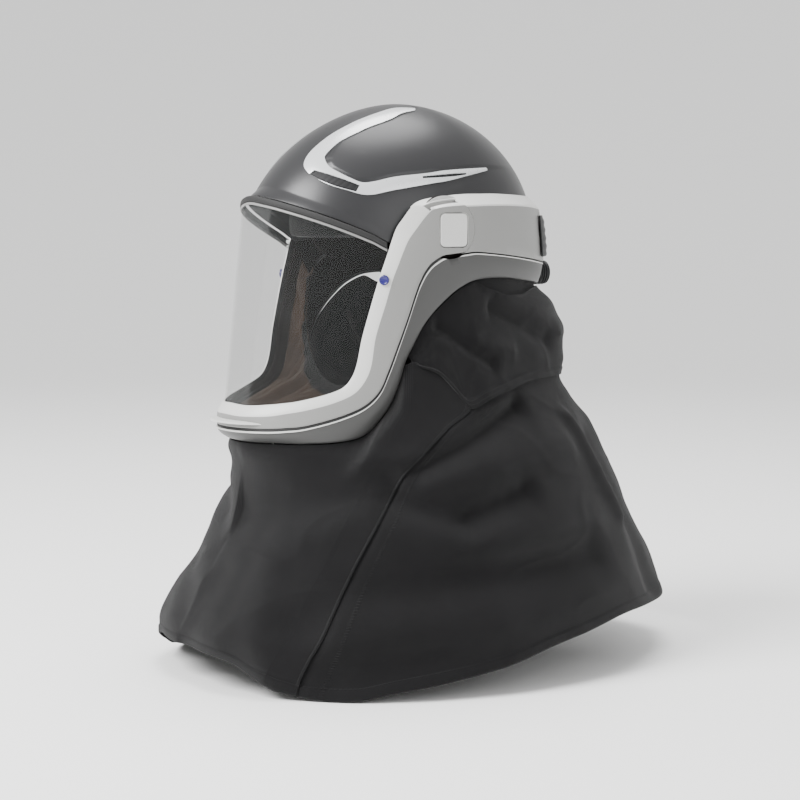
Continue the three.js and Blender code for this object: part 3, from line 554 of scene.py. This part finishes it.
mesh = outward(swept(17, 2 * nape - 17, 560, band_section), Vector((0, 0, -0.09)))
# The flat face rows take the grey: painted shade.
face_rows(mesh, 5, 12, 12, 2)
band = finished("rear_band_moulding", mesh, "helmet", ["rear_band"], "white_frame", white, shade_lining, shade_and_glint_grey, shade_lining,
                wall=2.6, rim=1)
settled(band)
for side in (1, -1):
    cut(band, disc_prism(0, 0, 0, 108.5, 160, side, fan_outline(arm_radius + 0.4, 112)))
rounded_off(band, 0.4, 2, 50)
for side, word in ((1, "left"), (-1, "right")):
    seat = disc_prism(pivot_y, pivot_z, arm_radius + 4.5, 103, 107.6, side)
    # The seat's back and sides take the lining: painted shade.
    for face in seat.faces:
        face.material_index = 0 if face.normal.x * side > 0.5 else 1
    boss = disc_prism(pivot_y, pivot_z, boss_radius, 111, side_reach - 2.1, side, count=48)
    for part, name in ((seat, "seat"), (boss, "boss")):
        finished(f"hinge_{name}_{word}", part, "helmet", [], "white_frame", white, shade_lining, edge=0.5)


# Lower frame. A mid-grey moulding that carries the shroud: it starts under the seam with a fine raised
# bead, painted white as a painted highlight along its top edge, leans in toward its foot, and draws back under
# the chin. It runs all the way round to the nape.
grey = plastic("grey_plastic", (0.042, 0.042, 0.041), 0.46, 0.05, 0.04)
chin_tuck = 9


def tuck_at(turn):
    return chin_tuck * ease(1 - abs(turn) / 36)


def lower_section(station, row):
    seam, foot = station.seam, station.foot
    tuck = tuck_at(foot[0] if foot[0] < 180 else foot[0] - 360)
    start = toward(seam, foot, 1.6)
    return [
        on_frame(toward(seam, foot, 1.5), 5.5), on_frame(toward(seam, foot, 1.3), 1.4), on_frame(start, 0.5),
        on_frame(toward(seam, foot, 3.0), 0.5), on_frame(toward(seam, foot, 3.5), 1.1),
        *[on_frame(start.lerp(foot, t), 1.2 + (4.6 + tuck) * t**2.0) for t in (0.3, 0.45, 0.6, 0.75, 0.88, 0.96)],
        on_frame(foot, 6.6 + tuck), on_frame(foot, 9.0 + tuck), on_frame(toward(foot, seam, 3), 9.6 + tuck),
    ]


mesh = outward(swept(-nape, nape, 900, lower_section), Vector((0, 0, -0.15)))
# The rows along the bead take the white plastic: a painted highlight on the frame's top edge.
for face in mesh.faces:
    chart_down = [loop[mesh.loops.layers.uv["chart"]].uv.y for loop in face.loops]
    face.material_index = 2 if max(chart_down) < 4.2 / 14 and min(chart_down) > 0.8 / 14 else 0
lower = finished("lower_frame_moulding", mesh, "helmet", ["lower_frame"], "grey_frame", grey, shade_lining, white, shade_lining)
settled(lower)
for side in (1, -1):
    cut(lower, disc_prism(pivot_y, pivot_z, arm_radius + 1.2, 108.5, 160, side))
# Its inside wall takes the lining: painted shade.
walled(lower, 1.0, 1)


def gasket_section(station, row):
    seam, crease, foot = station.seam, station.crease, station.foot
    return [
        on_frame(toward(seam, crease, 1.2), 4.2), on_frame(toward(seam, crease, 1.15), 1.5),
        on_frame(toward(seam, crease, 0.3), 1.0), on_frame(toward(seam, foot, 0.6), 1.0),
        on_frame(toward(seam, foot, 1.2), 1.5), on_frame(toward(seam, foot, 1.25), 4.2),
    ]


def flange_section(station, row):
    """The lower frame's inner flange, which stands up behind the rear band and closes the joint between them."""
    seam, crease, foot = station.seam, station.crease, station.foot
    reaches = ((crease, 6), (crease, 2), (foot, 2), (foot, 5))
    return [on_frame(toward(seam, place, reach), 9.4) for place, reach in reaches]


# The flange is all lining: painted shade.
mesh = outward(swept(14.6, 2 * nape - 14.6, 420, flange_section), Vector((0, 0, -0.15)))
finished("lower_frame_flange", mesh, "helmet", [], "dark_lining", shade_lining, wall=1.2)

rubber = plastic("black_rubber", (0.008, 0.008, 0.008), 0.62, 0.03, 0.05)
mesh = outward(swept(-14.8, 14.8, 620, gasket_section), Vector((0, 0, -0.15)))
finished("frame_gasket_cord", mesh, "helmet", ["frame_gasket"], "black_plastic", rubber, wall=0.5)


# Inner rim and face seal. Behind the visor frame a channel with stepped ridges, painted near-black as
# painted shade, carries the edge of the face seal, a soft dark cloth that runs in to the face and ends in a
# padded brown edge.
def rim_section(station, row):
    edge, crease, seam = station.edge, station.crease, station.seam
    start = edge.lerp(crease, 0.3)
    steps = [(0.0, 9.2), (0.08, 10.6), (0.2, 10.9), (0.24, 12.6), (0.4, 12.9), (0.44, 14.6), (0.62, 15.0),
             (0.66, 13.4), (0.8, 13.1), (0.84, 11.2), (1.0, 10.8)]
    end = toward(seam, crease, 1.0)
    return [on_frame(start.lerp(end, t), inset) for t, inset in steps]


# The channel is all lining: painted shade.
mesh = outward(swept(-13, 13, 420, rim_section), Vector((0, 0, -0.15)))
finished("inner_rim_channel", mesh, "helmet", ["inner_rim"], "dark_lining", shade_lining, wall=1.4, edge=0.3)

seal_rows = 12


def seal_point(across, down):
    row = mix(-seal_rows, seal_rows, across)
    station = Station(row)
    start = on_frame(station.crease, 15.5)
    angle = math.radians(row / seal_rows * 118)
    end = Vector((78 * math.sin(angle), -64 + 6 * (1 - math.cos(angle)), -160 - 78 * math.cos(angle))) * mm
    belly = math.sin(math.pi * down)
    fold = math.sin(row * 1.9) + 0.6 * math.sin(row * 3.7 + 1.3) + 0.5 * math.sin(row * 6.1 + 4 * down)
    deep = Vector((0, 2.6 * fold, -9 - 2.6 * fold)) * mm * belly
    crumple = noise.fractal(start.lerp(end, down) * 34, 0.7, 2.1, 4) * 2.2 * mm * belly
    return start.lerp(end, down) + deep + Vector((0, crumple, -crumple))


def fabric(name, color, weave, sheen, lint=0.5, stitches=()):
    """Woven cloth: a plain weave of two crossing yarns on the piece's own chart, slubs, lint and soft wear."""
    paint = Paint(name, color, 0.82, Sheen_Weight=sheen, Sheen_Roughness=0.45, Specular_IOR_Level=0.12)
    chart = paint.node("ShaderNodeUVMap", {"uv_map": "chart"}, {})
    yarn = lambda direction: paint.node(
        "ShaderNodeTexWave", {"wave_type": "BANDS", "bands_direction": direction, "wave_profile": "SIN"},
        {"Vector": chart, "Scale": weave, "Distortion": 0.6, "Detail": 1.0, "Detail Scale": 2.0})
    threads = yarn("X") * yarn("Y")
    slub = paint.cloud(60, 5.0, 0.6, (1, 1, 5))
    broad = paint.cloud(9, 4.0, 0.5)
    fluff = paint.cloud(500, 3.0, 0.7).above(0.66, 0.74) * paint.cloud(26, 3.0, 0.5).above(0.5, 0.7)
    worn = broad.above(0.3, 0.75) * 0.7 + threads * 0.3
    shade = paint.blend(worn, [c * 0.72 for c in color], [c * 1.3 for c in color])
    shade = paint.blend(slub.above(0.6, 0.75) * 0.2, shade, [c * 1.8 for c in color])
    paint.feed("Base Color", paint.blend(fluff * lint * 0.3, shade, (0.06, 0.058, 0.056)))
    sewn = 0.0
    for axis, at, run in stitches:
        spot = [paint.node("ShaderNodeSeparateXYZ", {}, {0: chart}, k) for k in range(2)]
        across, down = spot if axis == "side" else spot[::-1]
        line = (across - at).maths("ABSOLUTE", across - at)
        dash = (down * run).maths("FRACT", down * run)
        sewn = sewn + (1 - line.above(0.0009, 0.0022)) * (1 - dash.above(0.62, 0.72)) * dash.above(0.02, 0.1)
    paint.feed("Roughness", 0.78 + broad * 0.14)
    paint.relief(threads * 0.3 + slub * 0.3 + sewn * 0.9, 0.5)
    return paint.material


seal_cloth = fabric("seal_cloth", (0.0045, 0.0042, 0.0042), 60, 0.02)
seal_edge_cloth = fabric("seal_edge_cloth", (0.032, 0.02, 0.013), 60, 0.05)
mesh = outward(laid(300, 44, seal_point), Vector((0, 0.02, -0.1)))
face_rows(mesh, 0.84, 1, 1, 1)
seal = finished("face_seal_cloth", mesh, "helmet", ["face_seal"], "black_cloth", seal_cloth,
                seal_edge_cloth, seal_cloth, wall=1.2)


# Visor frame. A pale U-shaped moulding with a broad front bevel, hinged above the ears: each arm ends in
# a disc about its pivot, with a shallow well for a bare badge plate and a blue release peg in the bevel.
def visor_frame_section(station, row):
    edge, crease, seam = station.edge, station.crease, station.seam
    arm = ease((abs(row) - 17.2) / 0.9)
    border = edge.lerp(toward(crease, edge, 3.4), arm)
    under = clamp((-edge[1] - 63) / 30)
    deep = mix(3.6, 5.6, under * (1 - arm))
    bevel = [on_frame(border.lerp(crease, t), (deep - 0.7) * (1 - t) ** 1.25) for t in (0.12, 0.4, 0.7, 0.93)]
    face = [on_frame(crease.lerp(seam, t), 0) for t in (0.06, 0.3, 0.55, 0.8)]
    return [
        on_frame(border, deep + 1.2), on_frame(border, deep - 0.3), *bevel, on_frame(crease, 0.12), *face,
        on_frame(toward(seam, crease, 2.2), 0.05), on_frame(toward(seam, crease, 1.5), 0.6),
        on_frame(toward(seam, crease, 1.5), 3.6),
    ]


mesh = outward(swept(-21, 21, 760, visor_frame_section), Vector((0, 0, -0.15)))
# The flat face rows take the grey: painted shade.
face_rows(mesh, 6, 13, 13, 2)
# Its inside wall takes the lining: painted shade.
visor_frame = finished("visor_frame_moulding", mesh, "visor_unit", ["visor_frame"], "white_frame", white, shade_lining,
                       shade_and_glint_grey, shade_lining, wall=1.6, rim=1)
settled(visor_frame)


def badge_outline(half_wide, half_high, corner, steps=8):
    middle_y, middle_z = -4, -84.5
    points = []
    for start, sy, sz in ((0, 1, 1), (90, -1, 1), (180, -1, -1), (270, 1, -1)):
        for k in range(steps + 1):
            a = math.radians(start + 90 * k / steps)
            points.append((middle_y + sy * (half_wide - corner) + corner * math.cos(a),
                           middle_z + sz * (half_high - corner) + corner * math.sin(a)))
    return points


for side in (1, -1):
    keep = disc_prism(0, 0, 0, 0.01, 170, side, fan_outline(arm_radius, 38))
    half = visor_frame.copy()
    half.data = visor_frame.data.copy()
    bpy.context.collection.objects.link(half)
    cut(half, keep, "INTERSECT")
    cut(half, disc_prism(0, 0, 0, side_reach - 1.7, 160, side, badge_outline(15.5, 16.5, 5.4)))
    if side > 0:
        left_half = half
bm = bmesh.new()
for half in (left_half, half):
    bm.from_mesh(half.data)
bmesh.ops.remove_doubles(bm, verts=bm.verts, dist=0.00004)
bm.to_mesh(visor_frame.data)
bm.free()
for spare in (left_half, half):
    bpy.data.objects.remove(spare)
visor_frame.data.set_sharp_from_angle(angle=math.radians(35))
rounded_off(visor_frame, 0.35, 2, 50)


def lip_point(across, down):
    turn = mix(-16, 16, across)
    fade = (1 - abs(turn / 16) ** 3.2) ** 0.8 if abs(turn) < 16 else 0
    return on_frame((turn, -265 - 1.3 * down), 2.2 - 9.5 * fade * down)


mesh = laid(60, 10, lip_point)
bmesh.ops.recalc_face_normals(mesh, faces=mesh.faces)
finished("visor_frame_lip", mesh, "visor_unit", [], "white_frame", white, wall=2.0, edge=0.5)

blue = plastic("blue_plastic", (0.013, 0.01, 0.12), 0.3, 0.03, 0.1)
cheek = Station(11)
for side, word in ((1, "left"), (-1, "right")):
    plate = disc_prism(0, 0, 0, side_reach - 1.9, side_reach - 0.45, side, badge_outline(14.6, 15.6, 4.8))
    finished(f"badge_plate_{word}", plate, "visor_unit", [f"badge_{word}"], "silver_trim", white, edge=0.5)
    home = cheek.edge.lerp(cheek.crease, 0.42)
    seat = on_frame((side * home[0], home[1]), 2.4)
    outer = on_frame((side * (home[0] - 5), home[1])) - around(side * (home[0] + 10), 20, home[1])
    outer.z = 0
    peg = bmesh.new()
    bmesh.ops.create_circle(peg, cap_ends=True, segments=48, radius=4.7 * mm)
    for grow, rise in ((0.0, 2.2), (-0.9, 0.5), (-0.7, -0.5), (-1.6, 0.0), (-0.3, 0.7)):
        crown = max(peg.faces, key=lambda f: f.calc_center_median().z)
        if grow:
            bmesh.ops.inset_region(peg, faces=[crown], thickness=-grow * mm)
        else:
            crown = bmesh.ops.extrude_face_region(peg, geom=[crown])["geom"]
            crown = [g for g in crown if isinstance(g, bmesh.types.BMFace)][0]
        bmesh.ops.translate(peg, verts=crown.verts, vec=(0, 0, rise * mm))
    turn = outer.normalized().to_track_quat("Z", "Y").to_matrix().to_4x4()
    bmesh.ops.transform(peg, matrix=Matrix.Translation(seat) @ turn, verts=peg.verts)
    bmesh.ops.recalc_face_normals(peg, faces=peg.faces)
    finished(f"release_peg_{word}", peg, "visor_unit", [f"peg_{word}"], "blue_peg", blue, edge=0.3)


# Visor. A clear polycarbonate sheet bent round the face, with a black foam seal along its top edge and a
# pale grey strip in front of that, a painted glint along the visor's top edge. Its sides lie hidden under the frame.
visor_inset, visor_wall, seal_height, brow_end = 6.3, 1.6, 6, 56.8
visor_sides = [(0, 61), (0.21, 57), (0.38, 54), (0.58, 50.5), (0.76, 48), (0.88, 45.5), (1, 42.5)]


def visor_point(across, down):
    u = 2 * across - 1
    turn = u * through(visor_sides, down)
    return on_frame((turn, mix(brow_level(turn) - seal_height - 0.8, -256 + 12 * abs(u) ** 3, down)), visor_inset)


paint = Paint("clear_visor", (0.22, 0.225, 0.225), 0.05, IOR=1.5)
glance = paint.node("ShaderNodeFresnel", {}, {"IOR": 1.45})
smear = paint.cloud(26, 5.0, 0.65).above(0.5, 0.8)
hair = paint.cloud(120, 2.0, 0.5, (1, 1, 30)).above(0.68, 0.72)
paint.feed("Alpha", 0.03 + glance * 0.16 + smear * 0.02 + hair * 0.03)
paint.feed("Roughness", 0.04 + smear * 0.05)
mesh = outward(laid(96, 48, visor_point), Vector((0, 0, -0.15)))
finished("visor_sheet", mesh, "visor_unit", ["visor"], "clear_visor", paint.material, wall=visor_wall, edge=0.3)


def brow_strip(profile):
    def place(across, down):
        turn = mix(-brow_end, brow_end, across)
        k = min(int(down * (len(profile) - 1) + 1e-6), len(profile) - 2)
        (drop_a, inset_a), (drop_b, inset_b) = profile[k], profile[k + 1]
        t = down * (len(profile) - 1) - k
        return on_frame((turn, brow_level(turn) - mix(drop_a, drop_b, t)), mix(inset_a, inset_b, t))
    return laid(200, len(profile) - 1, place)


foam = plastic("seal_foam", (0.01, 0.01, 0.01), 0.75, 0.2, 0.06)
round_strip = [(0.4, 7.8), (0.4, 5.4), (0.9, 4.7), (2.0, 4.3), (3.6, 4.1), (5.0, 4.2), (5.7, 4.7),
               (6.0, 5.4), (6.0, 7.8)]
mesh = outward(brow_strip(round_strip), Vector((0, 0, -0.08)))
finished("brow_seal_strip", mesh, "visor_unit", ["brow_seal"], "black_plastic", foam, wall=0.6)
# A pale grey strip where the visor's top edge catches the light: a painted glint.
glint_profile = [(6.4, 6.1), (6.5, 5.2), (7.0, 4.75), (7.7, 4.6), (8.4, 4.8), (8.8, 5.3), (8.9, 6.1)]
mesh = outward(brow_strip(glint_profile), Vector((0, 0, -0.08)))
finished("painted_glint_strip", mesh, "visor_unit", ["visor_bead"], "white_frame", shade_and_glint_grey, wall=0.4)


# Nape fittings. A black cover on the band and, below it, the threaded coupling for the air hose, both
# moulded in black plastic and screwed to the back of the frame.
def cover_point(across, down):
    ribs = 0.7 * ease(math.sin(math.pi * across) * 3) * (0.5 + 0.5 * math.sin(down * math.tau * 5))
    crown = 1.6 * (1 - (2 * down - 1) ** 4) * (1 - (2 * across - 1) ** 6)
    return on_frame((148 + 64 * across, -71 - 41 * down), -2.9 - crown + ribs)


finished("rear_cover_plate", outward(laid(120, 60, cover_point), Vector((0, 0, -0.09))), "helmet", ["rear_cover"],
         "black_plastic", black_plastic, wall=3.0, edge=0.8)
inlet_z, frame_back, hose_collar, hose_bore, inlet_length = -130, 158, 12.5, 10, 20
flange = laid(40, 16, lambda across, down: on_frame((171.5 + 17 * across, -121 - 17.5 * down), -4.2))
finished("air_inlet_flange", outward(flange, Vector((0, 0, -0.09))), "helmet", [], "black_plastic", black_plastic,
         wall=3.4, edge=0.8)
turned = [(hose_collar, 0.6), (hose_collar, 5), (hose_collar - 1, 5.6), (hose_collar - 1, 7)]
for k in range(4):
    turned += [(hose_collar, 7.4 + 2.8 * k), (hose_collar, 8.6 + 2.8 * k), (hose_collar - 1, 9.2 + 2.8 * k)]
turned += [(hose_collar - 0.4, inlet_length - 0.6), (hose_collar - 1, inlet_length), (hose_bore + 0.4, inlet_length),
           (hose_bore, inlet_length - 0.5), (hose_bore, 2), (0, 2)]


def lathed(profile, columns=72):
    """A profile of radius and distance behind the frame, spun about the coupling's axis."""
    def place(across, down):
        k = min(int(down * (len(profile) - 1) + 1e-6), len(profile) - 2)
        t = down * (len(profile) - 1) - k
        radius, back = (mix(a, b, t) for a, b in zip(profile[k], profile[k + 1]))
        a = math.tau * across
        return Vector((radius * math.cos(a), frame_back + back, inlet_z + radius * math.sin(a))) * mm
    return laid(columns, len(profile) - 1, place)


finished("air_inlet_coupling", lathed(turned), "helmet", ["air_inlet"], "black_plastic", black_plastic, edge=0.2)


# Head suspension. A plastic band round the head hangs from four lugs on the shell, with two crossed
# webbing straps over the crown and a foam pad at the brow.
def oval(turn, grow, z):
    a = math.radians(turn)
    return Vector(((81 + grow) * math.sin(a), -(100 + grow) * math.cos(a), z)) * mm


hoop = laid(180, 8, lambda across, down: oval(360 * across, 2 - 0.7 * abs(2 * down - 1) ** 4, mix(-68, -92, down)))
finished("headband_hoop", outward(hoop, Vector((0, 0, -0.08))), "helmet", ["headband"], "black_plastic",
         black_plastic, wall=2, edge=0.4)
for turn_of_lug, word in ((66, "left_front"), (132, "left_rear"), (-132, "right_rear"), (-66, "right_front")):
    def lug_point(across, down):
        z = -78 + 5.5 * math.cos(math.tau * down)
        spread = 4.2 * math.sin(math.tau * down)
        far = around(turn_of_lug + spread, shell_reach(turn_of_lug, z, -shell_wall) - 3.2, z)
        return oval(turn_of_lug + spread * 1.1, 1, z).lerp(far, across)
    finished(f"headband_lug_{word}", outward(laid(12, 24, lug_point), around(turn_of_lug, 100, -78)), "helmet", [],
             "black_plastic", black_plastic)
webbing = fabric("black_webbing", (0.008, 0.008, 0.008), 300, 0.04)


def strap_point(reach, across_head):
    def place(across, down):
        s, w = 2 * across - 1, mix(-9, 9, down)
        z = 0.9 + 82 * (math.sqrt(1 - (0.985 * s) ** 2) - 1) + 0.9
        return Vector((*((reach * s, w) if across_head else (w, reach * s)), z)) * mm
    return place


for word, reach, across_head in (("across", 81.8, True), ("along", 100.8, False)):
    band_mesh = outward(laid(90, 6, strap_point(reach, across_head)), Vector((0, 0, -0.1)))
    finished(f"crown_strap_{word}", band_mesh, "helmet", ["crown_straps"], "black_plastic", webbing,
             wall=1.6, edge=0.3)


def pad_point(across, down):
    turn = 72 * across - 36
    end = max(0.0, 1 - abs(2 * across - 1) ** 8) ** 0.5
    a = math.tau * down
    quilt = 1 - 0.25 * abs(math.sin(across * math.pi * 6)) ** 12
    return oval(turn, 5.4 + 3.1 * math.cos(a) * end * quilt, -79 + 12 * math.sin(a) * (0.6 + 0.4 * end))


pad_mesh = laid(120, 28, pad_point)
bmesh.ops.holes_fill(pad_mesh, edges=pad_mesh.edges)
pad = finished("brow_pad_foam", outward(pad_mesh, oval(0, 5.4, -79)), "helmet", ["brow_pad"],
               "black_plastic", webbing)


# Shroud. Black cloth hangs from the foot of the lower frame in three panels: a bib in front, a collar
# behind the ears and a cape from the collar down, felled together and hemmed.
cloth_axis, per_degree = 19, 3.002
drape = [
    (130, 176, 108, 134), (140, 178, 110, 140), (155, 179, 111, 152), (170, 180, 112, 157), (190, 182, 115, 162),
    (213, 184, 119, 166), (232, 184, 123, 158), (251, 184, 129, 168), (285, 182, 148, 190), (315, 186, 160, 206),
    (340, 192, 169, 220), (378, 201, 183, 237), (395, 211, 188, 247), (420, 231, 195, 260), (445, 249, 202, 269),
    (465, 258, 207, 275), (485, 256, 211, 277), (510, 252, 215, 278),
]
neck_line = [(60, -207), (65, -211), (71, -216), (79, -233), (86, -250), (96, -242), (111, -233), (123, -228),
             (140, -227), (180, -229)]
collar_sag = [(92, 0), (101, 8.7), (112, 14.8), (123, 12.8), (136, 6.1), (150, 2), (180, 1)]
hem_line = [(0, -476), (10, -477), (18, -481), (24, -492), (30, -503), (37, -508), (42, -509.6), (47, -509),
            (56, -502),
            (69, -494), (87, -482), (99, -471), (113, -462), (130, -454), (158, -459), (180, -460)]
panel_seam = [(250, 86), (269, 74), (289, 65), (316, 56), (355, 50), (412, 42), (451, 39), (506, 34)]
folds = [
    (4, -295, 61, -296, 10, 4), (4, -352, 51, -320, 22, -9), (3, -397, 47, -349, 20, 6), (34, -445, 42, -415, 22, -7),
    (4, -411, 3, -470, 18, -6), (22, -400, 28, -500, 16, 5), (63, -306, 110, -255, 11, -10),
    (66, -314, 125, -293, 16, 6), (55, -331, 77, -354, 14, -7), (77, -354, 100, -329, 14, -8),
    (56, -362, 125, -372, 20, 6), (52, -413, 121, -389, 20, -9),
    (60, -450, 130, -430, 22, 5), (43, -490, 66, -466, 20, -8),
    (136, -270, 142, -365, 10, 7), (150, -300, 148, -440, 18, -7), (166, -280, 172, -450, 18, 6),
    (104, -158, 140, -192, 11, -7), (72, -176, 100, -212, 7, -5),
    (92, -190, 112, -200, 10, 4), (150, -185, 176, -178, 10, 4),
    (160, -215, 180, -205, 9, -4),
]
foot_last_row, neck_start, junction = 10, 60, 86


def cloth_reach(turn, z):
    c = math.cos(math.radians(turn))
    side, end = through(drape, -z, 2), through(drape, -z, 1 if c > 0 else 3)
    return 1 / math.hypot(math.sin(math.radians(turn)) / side, c / end)


def fold_height(turn, z):
    lean = 9 if turn < 0 else 0
    x, y, out = abs(turn) * per_degree, -z, 0.0
    for turn_a, z_a, turn_b, z_b, breadth, height in folds:
        ax, ay = (turn_a + lean) * per_degree, -z_a
        bx, by = (turn_b - lean) * per_degree - ax, -z_b - ay
        t = clamp(((x - ax) * bx + (y - ay) * by) / (bx * bx + by * by))
        away = math.hypot(x - ax - bx * t, y - ay - by * t) / breadth
        if away < 3:
            out += height * math.exp(-away * away)
    return out


def wrinkle(turn, z):
    """Small rumples between the folds: soft swells, and a few sharp creases where the cloth has been packed."""
    here = Vector((turn * per_degree * 0.8, z * 1.15, 4.0))
    bent = here + Vector((noise.noise(here / 60) * 26, noise.noise(here / 55 + Vector((9, 4, 1))) * 26, 0))
    swell = 2.2 * noise.noise(bent / 62) + 0.7 * noise.noise(bent / 27)
    crease = (1 - abs(noise.noise(bent / 70 + Vector((3, 7, 2))))) ** 7
    return swell + 0.9 * crease + 0.12 * noise.noise(here / 9)


def on_cloth(turn, z, out=0.0, rumple=1.0):
    reach = cloth_reach(turn, z) + fold_height(turn, z) + rumple * wrinkle(turn, z) + out
    return around(turn, reach, z, cloth_axis)


def foot_point(row):
    station = Station(row)
    turn = station.foot[0]
    return on_frame(toward(station.foot, station.seam, -1.3), 7.6 + tuck_at(turn))


def hung(columns, rows, top_at, place_at, settle, raised):
    """A panel that hangs from a top line: its edge follows the frame, and lower down it takes the drape's plan."""
    tops = {}

    def place(across, down):
        s = 2 * across - 1
        side = -1 if s < 0 else 1
        if across not in tops:
            top = top_at(abs(s)) / mm
            start = math.degrees(math.atan2(top.x, cloth_axis - top.y))
            reach = math.hypot(top.x, top.y - cloth_axis)
            tops[across] = (start, top.z, reach - cloth_reach(start, top.z) - fold_height(side * start, top.z))
        start, high, off = tops[across]
        turn, z = place_at(abs(s), start, high, down)
        fade = math.exp(-(((high - z) / settle) ** 2))
        return on_cloth(side * turn, z, off * fade + raised(abs(s), down, high, z), ease((high - z) / 20))
    return laid(columns, rows, place)


def neck_level(turn):
    return through(neck_line, turn)


def neck_point(turn):
    z = neck_level(turn) - 0.4
    return around(turn, cloth_reach(turn, z) + fold_height(turn, z), z, cloth_axis)


def seam_turn(v):
    return through(panel_seam, mix(250, 506, v))


def lean(z):
    return junction - through(panel_seam, -z)


def leaning(column, z):
    return (max(column, 0) / junction) ** min(3, 0.8 * junction / max(lean(z), 1)) * lean(z)


def bib_top(s):
    if s < 0.72:
        return foot_point(s / 0.72 * foot_last_row)
    return neck_point(mix(neck_start, junction, (s - 0.72) / 0.28))


def bib_place(s, start, top, v):
    column = start
    for _ in range(12):
        column = start + leaning(column, top)
    hem = through(hem_line, start)
    for _ in range(6):
        hem = through(hem_line, column - leaning(column, hem))
    z = mix(top, hem, v)
    return column - leaning(column, z), z


def cape_place(s, start, top, v):
    at = 180 - (180 - start) * (180.7 - seam_turn(v)) / (180 - junction)
    end = 180 - (180 - start) * (180 - seam_turn(1)) / (180 - junction)
    return at, mix(top, through(hem_line, end), v)


def collar_top(s):
    foot = foot_point(mix(nape, foot_last_row + 0.35, s))
    turn = math.degrees(math.atan2(foot.x, cloth_axis * mm - foot.y))
    sag = through(collar_sag, turn) * mm
    out = 1 + 0.6 * sag / math.hypot(foot.x, foot.y)
    return Vector((foot.x * out, foot.y * out, foot.z - sag - 0.3 * mm))


def collar_place(s, start, top, v):
    end = mix(180, neck_start, s)
    return mix(start, end, v), mix(top, neck_level(end) - 2.5, v)


def hem_fold(s, v, high, z):
    return 1.0 * ease((v - 0.955) / 0.008) - 1.4 * ease((v - 0.992) / 0.008)


def bib_raised(s, v, high, z):
    fell = ease((s - 0.965) / 0.006) * (v > 0.02)
    return 0.7 * fell + hem_fold(s, v, high, z) * (1 - fell)


def cape_raised(s, v, high, z):
    return hem_fold(s, v, high, z) - 1.6 * ease((s - 0.98) / 0.012)


def collar_raised(s, v, high, z):
    return 1.5 * ease((v - 0.9) / 0.03)


shade_of_cloth = (0.0062, 0.006, 0.0065)
bib_cloth = fabric("bib_cloth", shade_of_cloth, 300, 0.09, 0.5, [
    ("side", 0.006, 110), ("side", 0.015, 110), ("side", 0.994, 110), ("side", 0.985, 110), ("hem", 0.958, 260)])
cape_cloth = fabric("cape_cloth", shade_of_cloth, 300, 0.09, 0.5, [
    ("side", 0.02, 110), ("side", 0.98, 110), ("hem", 0.958, 260)])
neck_cloth = fabric("neck_cloth", shade_of_cloth, 300, 0.09, 0.5, [("hem", 0.93, 200), ("hem", 0.965, 200)])
def tuck_place(across, down):
    s = abs(2 * across - 1)
    top = collar_top(s) - Vector((0, 0, 2.5 * mm))
    inner = foot_point(mix(nape, foot_last_row + 0.35, s)) * 0.975
    inner.z = foot_point(mix(nape, foot_last_row + 0.35, s)).z + 3 * mm
    start = Vector((top.x * 0.985, top.y * 0.985, top.z))
    middle = start.lerp(inner, 0.4) - Vector((0, 0, 3 * mm))
    return start.lerp(middle, down).lerp(middle.lerp(inner, down), down)


# The collar's cloth runs on inside, from its sagging top edge up to the foot of the frame.
tuck = finished("shroud_neck_tuck", laid(300, 8, lambda across, down: tuck_place(across, 1 - down)), "helmet", [],
                "black_cloth", neck_cloth, wall=0.8)

panels = (
    ("shroud_bib", "shroud_front", 236, 190, bib_top, bib_place, 24, bib_raised, bib_cloth,
     (0.48, 0.27), 0.09),
    ("shroud_cape", "shroud_back", 240, 186, lambda s: neck_point(mix(180, junction, s)), cape_place,
     24, cape_raised, cape_cloth, (1.1, 0.29), 0.235),
    ("shroud_neck", "shroud_collar", 300, 84, collar_top, collar_place, 13, collar_raised, neck_cloth,
     (0.62, 0.12), 0.053),
)
for name, node, columns, rows, top_at, place_at, settle, raised, cloth, flat, area in panels:
    mesh = hung(columns, rows, top_at, place_at, settle, raised)
    panel = finished(name, outward(mesh, Vector((0, 0.02, -0.35))), "helmet", [node], "black_cloth", cloth,
                     wall=1.2, smooth=70)


# Studio. A pale floor that curves up far behind the helmet, a large soft light ahead and above, and two
# weaker ones that fill the shadows.
def floor_point(across, down):
    x, y = 16 * across - 8, 16 * down - 8
    far = clamp((math.hypot(x, y) - 3.2) / 4.4)
    return Vector((x, y, -0.5102 + 3.4 * far**2.2))


paper = Paint("floor_paper", (0.93, 0.93, 0.925), 0.7)
paper.feed("Roughness", 0.66 + paper.cloud(3, 3.0, 0.5) * 0.1)
floor = bpy.data.objects.new("floor", bpy.data.meshes.new("floor"))
mesh = laid(80, 80, floor_point)
mesh.to_mesh(floor.data)
mesh.free()
floor.data.materials.append(paper.material)
floor.data.shade_smooth()
bpy.context.collection.objects.link(floor)

ahead = Vector((-math.cos(view_turn), -math.sin(view_turn), 0))
near_side = Vector((math.sin(view_turn), -math.cos(view_turn), 0))
for word, place, size, power in (
    ("key", near_side * 1.1 + ahead * 1.7 + Vector((0, 0, 1.5)), 1.5, 150),
    ("fill", near_side * 1.9 - ahead * 1.5 + Vector((0, 0, 0.7)), 1.8, 14),
    ("top", -near_side * 0.5 - ahead * 0.2 + Vector((0, 0, 2.3)), 1.6, 62),
):
    light = bpy.data.lights.new(f"{word}_light", "AREA")
    light.shape, light.size, light.energy = "DISK", size, power
    lamp = bpy.data.objects.new(f"{word}_light", light)
    lamp.location = place
    lamp.rotation_euler = (place - view_middle).to_track_quat("Z", "Y").to_euler()
    bpy.context.collection.objects.link(lamp)
world = bpy.data.worlds.new("studio_air")
world.use_nodes = True
world.node_tree.nodes["Background"].inputs["Color"].default_value = (1, 1, 1, 1)
world.node_tree.nodes["Background"].inputs["Strength"].default_value = 1.0
bpy.context.scene.world = world
